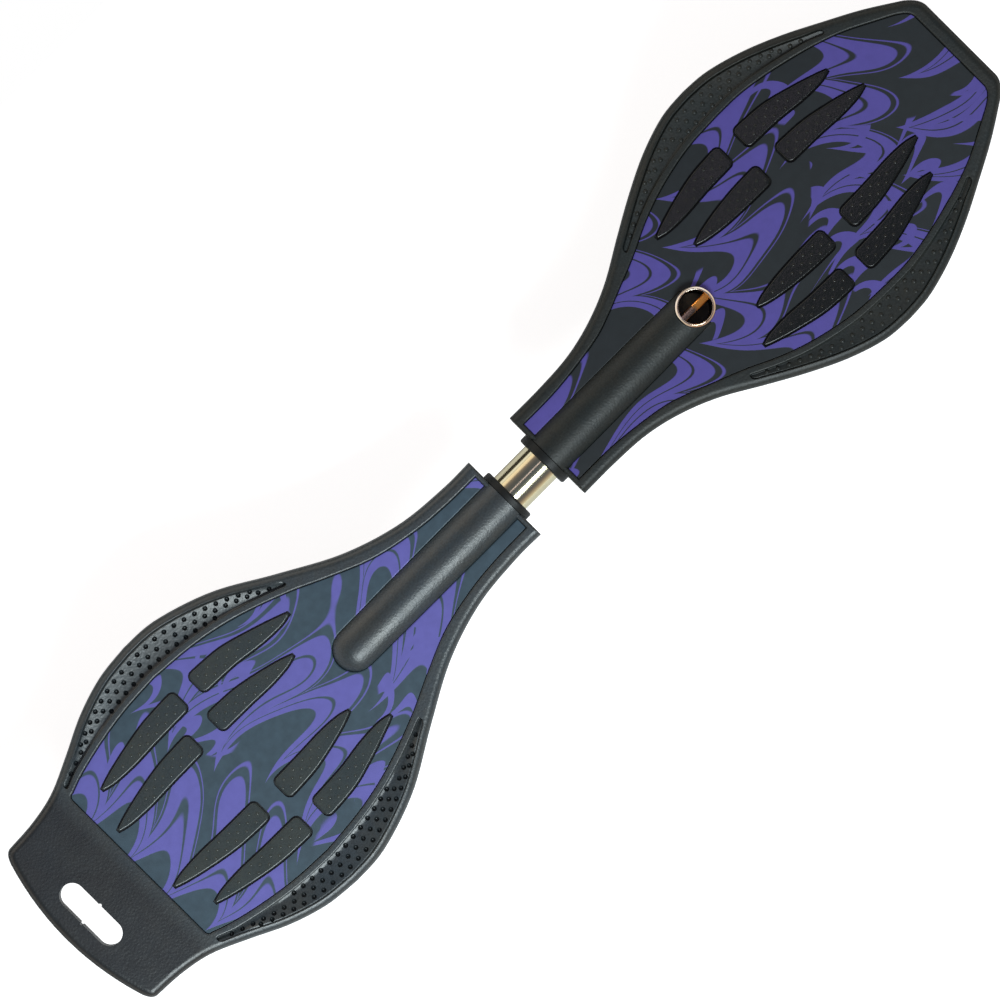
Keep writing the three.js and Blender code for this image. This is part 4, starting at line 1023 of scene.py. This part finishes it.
def printed(name, base, ink, rough, angle, shift):
    """A panel with a generic flowing print: rows of bent tongues of ink, thin echo lines and small licks"""
    s = material(name)
    place = s.node("VectorMath", {0: s.place, 1: (shift, 0, 0)}, operation="ADD").outputs[0]
    place = s.node("VectorRotate", {"Vector": place, "Angle": radians(angle)},
                   rotation_type="Z_AXIS").outputs[0]
    rows = tongues(s, place, 0.105, 0.037, 0.058, 0.016)
    small = tongues(s, place, 0.047, 0.019, 0.024, 0.007)
    mask = s.math("MAXIMUM", within(s, rows, 0.03, 0.46), within(s, rows, 0.53, 0.56))
    patches = within(s, s.noise(11.0, 0.0, place=place), 0.55, 1.2, 0.004)
    licks = s.math("MULTIPLY", within(s, small, 0.05, 0.3), patches)
    gaps = s.math("SUBTRACT", 1.0, within(s, rows, 0.2, 0.235))
    mask = s.math("MAXIMUM", s.math("MULTIPLY", mask, gaps), licks)
    mottled = s.step(s.noise(160, 3), 0.3, 0.7)
    ground = s.mix(mottled, shade(base, 0.88), shade(base, 1.12))
    inked = s.mix(mottled, shade(ink, 0.95), shade(ink, 1.05))
    # Painted shade: the print darker where the panel is closed in by other parts
    tone = s.mix(s.painted_crevice_shade(0.002, 0.3, 0.7, 0.6), s.mix(mask, ground, inked), shade(base, 0.1))
    return s.finish(Base_Color=tone, Roughness=s.scaled(s.noise(45, 3), 0.12, rough - 0.06), IOR=1.5,
                    Normal=s.bump(s.scaled(s.noise(1500, 2), 0.6, s.scaled(mask, 0.8)), 0.00006, 0.6))


# Pieces
def dressed(name, mesh, matrix, body, slot, *nodes, finish=None):
    """A piece in metres at its place, riding its body and standing for its CAD nodes"""
    mesh = moved(mesh, Matrix.Scale(MM, 4) @ matrix)
    mesh.name = name
    mesh.materials.clear()
    mesh.materials.append(finishes[finish or slot])
    mesh.shade_smooth()
    mesh.set_sharp_from_angle(angle=SHARP_ANGLE)
    piece = linked(name, mesh)
    weighted = piece.modifiers.new("normals", "WEIGHTED_NORMAL")
    weighted.keep_sharp = True
    weighted.weight = 100
    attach(piece, body)
    if nodes:
        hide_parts(*nodes)


FRONT_NECK_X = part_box("front_deck")[0].x / MM
REAR_NECK_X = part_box("rear_deck")[1].x / MM
PLACES = dict(front=at(FRONT_NECK_X, 0, TUBE_HEIGHT),
              rear=at(REAR_NECK_X, 0, TUBE_HEIGHT) @ turn(pi, "Z"))


def joint_place(name):
    return at(*Vector(joints[name]["pos_m"]) / MM)


def caster_place(end):
    """The kingpin's frame"""
    return joint_place(end + "_swivel") @ turn(LEAN, "Y")


def tube_bore(radius, depth):
    return moved(bar(radius, -OVERRUN, depth + FIT_GAP, SIDES.round), ALONG_X)


def deck_of(end):
    """A deck's sizes, with its outlines, its caster's place and the tools that only it needs"""
    deck = Named(**DECKS[end])
    deck.length = deck.outline["end"][0]
    deck.outline, deck.panel = deck_outline(**deck.outline), deck_outline(**deck.panel)
    deck.caster_matrix = PLACES[end].inverted() @ caster_place(end)
    if end == "rear":
        start = TUBE.in_rear_deck + ANCHOR.gap
        screws = spread(start, ANCHOR.length, ANCHOR.screw_shares)
        bores = [tube_bore(BUSH.bore_radius, start + ANCHOR.length)]
        bosses, openings, deck.panel_cuts = [], [carry_slot(deck)], []
    else:
        screws = spread(0, TUBE.in_front_deck, TUBE.screw_shares)
        half = ROD.half + FIT_GAP
        bores = [tube_bore(BUSH.bore_radius, COLLAR.spigot),
                 tube_bore(TUBE.radius + FIT_GAP, TUBE.in_front_deck)]
        bosses = [sleeve_bar(FIT_GAP + SLEEVE.boss_wall, -HOUSING_RADIUS, RECESS_FLOOR)]
        deck.panel_cuts = [sleeve_bar(FIT_GAP, SLEEVE_FLOOR, HOUSING_RADIUS + OVERRUN)]
        openings = [*deck.panel_cuts, box(0, FRONT_RIDGE_LENGTH + SLEEVE.radius, -half, half, -half, half)]
    deck.bosses = [screw_bosses(screws), *bosses]
    deck.cuts = [*bores, screw_bores(screws), *openings]
    return deck


finishes = dict(
    # The rear's deck plastic, claws, panel ground and ink are painted lighter and bluer than the front's as the
    # key's painted sheen, and the front's darker as painted shade
    front_deck=moulded("front_deck_plastic", srgb(31, 38, 38), 0.45, srgb(39, 41, 37), sheen=0.5),
    rear_deck=moulded("rear_deck_plastic", srgb(48, 59, 65), 0.37, srgb(54, 59, 59), sheen=0.9,
                      tail=(REAR_NECK_X - DECKS["rear"]["panel"]["end"][0]) * MM),
    front_claws=moulded("front_claw_rubber", srgb(11, 15, 13), 0.22, srgb(19, 22, 18), 0.0001, speckle=0.2,
                        sheen=0.6),
    rear_claws=moulded("rear_claw_rubber", srgb(42, 55, 57), 0.3, srgb(50, 58, 54), 0.00008, speckle=0.2,
                       sheen=0.85),
    front_panel=printed("front_print", srgb(28, 35, 39), srgb(89, 79, 165), 0.5, 18, 0.02),
    rear_panel=printed("rear_print", srgb(65, 85, 98), srgb(110, 107, 190), 0.42, -9, 0.031),
    chrome=metal("polished_chrome", (0.82, 0.75, 0.52), 0.12, 0.12, (0.78, 0.70, 0.46)),
    ring=metal("ring_chrome", (0.95, 0.88, 0.78), 0.1, 0.12, (0.90, 0.58, 0.34)),
    rod=steel_with_painted_dark_end("rod_steel", (0.3, 0.22, 0.16), (0.95, 0.41, 0.1),
                 (FRONT_NECK_X + FRONT_RIDGE_LENGTH) * MM),
    steel=metal("zinc_steel", (0.62, 0.63, 0.64), 0.26, 0.5),
    dark_steel=moulded("powder_coat", srgb(46, 47, 48), 0.38, None, 0.00005, 1500, 0.08),
    nylon=moulded("nylon", srgb(24, 28, 29), 0.45, srgb(31, 32, 30), 0.00005, 1400, 0.1, 0.35),
    tyre=moulded("tyre_urethane", srgb(38, 39, 41), 0.36, None, 0.00004, 1200, 0.06),
    hub=moulded("hub_nylon", srgb(72, 74, 76), 0.42, None, 0.00005, 1300, 0.08),
)

for end, place in PLACES.items():
    deck, body, panel = deck_of(end), f"{end}_deck", f"{end}_panel"
    dressed(f"{end}_deck_moulding", deck_moulding(deck), place, body, "deck", body, finish=body)
    dressed(f"{end}_claw_pads", claw_pads(deck), place, body, "deck", finish=f"{end}_claws")
    dressed(f"{end}_panel_insert", panel_insert(deck), place, body, panel, panel)

# The mechanism rides the front deck, apart from the rear deck's bush
LOCK_PLACE = PLACES["front"] @ at(FRONT_RIDGE_LENGTH)
dressed("rear_bush", neck_collar(REAR_COLLAR_PROUD), PLACES["rear"], "rear_deck", "nylon", "rear_neck_bush")
for name, mesh, place, slot, node, finish in (
        ("front_collar", neck_collar(FRONT_COLLAR_PROUD), PLACES["front"], "nylon", "front_neck_collar",
         None),
        ("polished_tube", torsion_tube(), at(REAR_NECK_X, 0, TUBE_HEIGHT), "chrome", "torsion_tube", None),
        ("lock_ring", lock_sleeve(), LOCK_PLACE, "chrome", "lock_sleeve", "ring"),
        ("spring_rod", torsion_rod(), at(z=TUBE_HEIGHT), "rod", "torsion_rod", None),
        ("lock_plug", bar(SLEEVE.bore_radius - FIT_GAP, SLEEVE_BOTTOM, SLEEVE_BOTTOM + SLEEVE.plug_height,
                          SIDES.round, EDGE_ROUND), LOCK_PLACE, "nylon", "sleeve_plug", None)):
    dressed(name, mesh, place, "front_deck", slot, node, finish=finish)

for name, body in (("tube_screw", "front_deck"), ("anchor_screw", "rear_deck")):
    for i in (1, 2):
        low, high = (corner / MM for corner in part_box(f"{name}_{i}"))
        screw = pan_screw(SCREW, BOSS_FACE - FIT_GAP, high.z - TUBE_HEIGHT)
        place = at((low.x + high.x) / 2, 0, TUBE_HEIGHT)
        dressed(f"{name}_cross_{i}", screw, place, body, "dark_steel", f"{name}_{i}")

for end in PLACES:
    place, wheel = caster_place(end), joint_place(end + "_wheel_spin") @ ALONG_Y
    for i, (x, y) in enumerate(PLATE_HOLES, 1):
        screw = pan_screw(PLATE_SCREW, THRUST_TOP, PLATE_SCREW.reach)
        dressed(f"{end}_plate_bolt_{i}", screw, place @ at(x, y), f"{end}_deck", "steel",
                f"{end}_plate_screw_{i}")
    for name, mesh, matrix, body, slot, node in (
            ("plate", mount_plate(), place, "deck", "dark_steel", "mount_plate"),
            ("pin", kingpin(), place, "deck", "steel", "kingpin"),
            ("pin_nut", nut(KINGPIN, CROWN_BOTTOM - FIT_GAP - KINGPIN.nut_height), place, "deck", "steel",
             "kingpin_nut"),
            ("thrust_race", thrust_bearing(), place, "deck", "steel", "thrust_bearing"),
            ("caster_fork", fork(), place, "caster", "dark_steel", "fork"),
            ("axle", axle_bolt(), wheel, "caster", "steel", "axle_bolt"),
            ("axle_locknut", nut(AXLE, FORK_OUTER + FIT_GAP), wheel, "caster", "steel", "axle_nut"),
            ("wheel_tyre", tyre(), wheel, "wheel", "tyre", "tyre"),
            ("wheel_hub", hub(), wheel, "wheel", "hub", "hub"),
            ("race_left", ball_bearing(1), wheel, "wheel", "steel", "bearing_left"),
            ("race_right", ball_bearing(-1), wheel, "wheel", "steel", "bearing_right")):
        dressed(f"{end}_{name}", mesh, matrix, f"{end}_{body}", slot, f"{end}_{node}")

# CAD nodes that keep their own shape
for name, node in frame["nodes"].items():
    if not node.hide_render:
        slot = next(row["material_slot"] for row in frame["record"]["subparts"] if row["node"] == name)
        node.data.materials.clear()
        node.data.materials.append(finishes[slot])

# Floor, light and camera, in metres
FLOOR = Named(half_length=0.62, front=-0.6, back=0.45, corner=0.1, white=0.93, glow=0.76,
              glow_in_metal=0.06)


def floor():
    """A white table top: brighter to the camera, and a little in metal, so its soft shadow stays faint"""
    half, middle = (FLOOR.back - FLOOR.front) / 2, (FLOOR.back + FLOOR.front) / 2
    outline = rounded_rectangle(-FLOOR.half_length, FLOOR.half_length, half, FLOOR.corner)
    mesh = mesh_from([(x, y + middle, 0) for x, y in outline], [tuple(range(len(outline)))])
    s = material("white_floor")
    fine = s.noise(240, 3)
    s.finish(Base_Color=s.mix(fine, shade((FLOOR.white,) * 3, 0.99), (FLOOR.white,) * 3), Roughness=0.9,
             Emission_Color=(1.0, 1.0, 1.0), Specular_IOR_Level=0.2)
    rays = s.node("LightPath").outputs
    in_metal = s.math("MAXIMUM", rays["Is Glossy Ray"], rays["Is Transmission Ray"])
    glow = s.math("ADD", s.math("MULTIPLY", rays["Is Camera Ray"], FLOOR.glow),
                  s.math("MULTIPLY", in_metal, FLOOR.glow_in_metal))
    s.feed(s.surface.inputs["Emission Strength"], glow)
    mesh.materials.append(s.owner)
    linked("floor", mesh)


# Light from the room, by the angle from straight up, as shares of half a turn
ROOM_TILT = radians(17)
ROOM_LIGHT = (
    (0.0, (0.09, 0.11, 0.15)), (0.15, (0.09, 0.11, 0.145)), (0.21, (0.105, 0.11, 0.14)),
    (0.25, (0.125, 0.13, 0.16)), (0.30, (0.19, 0.17, 0.18)), (0.352, (0.36, 0.30, 0.27)),
    (0.405, (0.58, 0.51, 0.44)), (0.46, (0.80, 0.76, 0.67)), (0.49, (0.93, 0.90, 0.84)),
    (0.53, (0.93, 0.90, 0.84)), (0.552, (0.03, 0.03, 0.025)), (0.7, (0.05, 0.045, 0.04)))
WALL_SHARES = (0.47, 0.5, 0.53, 0.552)


def room_light():
    """White to the camera, and in metal where the walls are. To the board: a dim ceiling and pale walls"""
    world = bpy.data.worlds.new("room")
    s = Shader(world)
    tilted = {"Vector": s.node("TexCoord").outputs["Generated"], "Angle": -ROOM_TILT}
    height = s.along(s.node("VectorRotate", tilted, rotation_type="X_AXIS").outputs[0], "Z")
    share = s.math("DIVIDE", s.math("ARCCOSINE", height), pi)
    rays = s.node("LightPath").outputs
    seen = s.math("MULTIPLY", rays["Is Glossy Ray"], s.ramp(share, *zip(WALL_SHARES, (0.0, 1.0, 1.0, 0.0))))
    for ray in ("Is Camera Ray", "Is Transmission Ray"):
        seen = s.math("MAXIMUM", seen, rays[ray])
    room = s.node("Background", {"Color": s.ramp(share, *ROOM_LIGHT)}).outputs[0]
    white = s.node("Background", {"Color": (1, 1, 1, 1)}).outputs[0]
    choice = s.node("MixShader", {0: seen, 1: room, 2: white})
    s.feed(s.tree.nodes["World Output"].inputs["Surface"], choice.outputs[0])
    bpy.context.scene.world = world


def lamp(name, place, target, size, radiance, tint=(1, 1, 1)):
    """A softbox of a given radiance"""
    light = bpy.data.lights.new(name, "AREA")
    light.shape = "RECTANGLE"
    light.size, light.size_y = size
    light.energy = radiance * pi * size[0] * size[1]
    light.color = tint
    piece = linked(name, light)
    piece.location = place
    piece.rotation_euler = (Vector(target) - Vector(place)).to_track_quat("-Z", "Y").to_euler()


CAMERA = Named(centre=(-0.01164, 0.00156), turn=radians(-45.153), height=3.1)
DECK_HEIGHT = 0.118
VIEW_WIDTH = 0.68436
SENSOR = 36


def camera():
    data = bpy.data.cameras.new("camera")
    data.sensor_width = SENSOR
    data.lens = SENSOR * CAMERA.height / VIEW_WIDTH
    piece = linked("camera", data)
    piece.location = (*CAMERA.centre, DECK_HEIGHT + CAMERA.height)
    piece.rotation_euler = (0, 0, CAMERA.turn)
    bpy.context.scene.camera = piece


floor()
room_light()
lamp("key", (-0.42, -1.03, 1.58), (-0.1, 0, 0.1), (0.95, 0.68), 11.5, (0.88, 0.98, 1.0))
lamp("fill", (-0.1, 1.29, 1.04), (-0.1, 0, 0.1), (1.2, 0.45), 0.52, (1.0, 0.86, 0.7))
lamp("strip", (0, 0.078, 1.6), (0, 0, 0.1), (0.9, 0.08), 1.3, (1.0, 0.82, 0.98))
camera()
bpy.context.scene.view_settings.view_transform = "Standard"
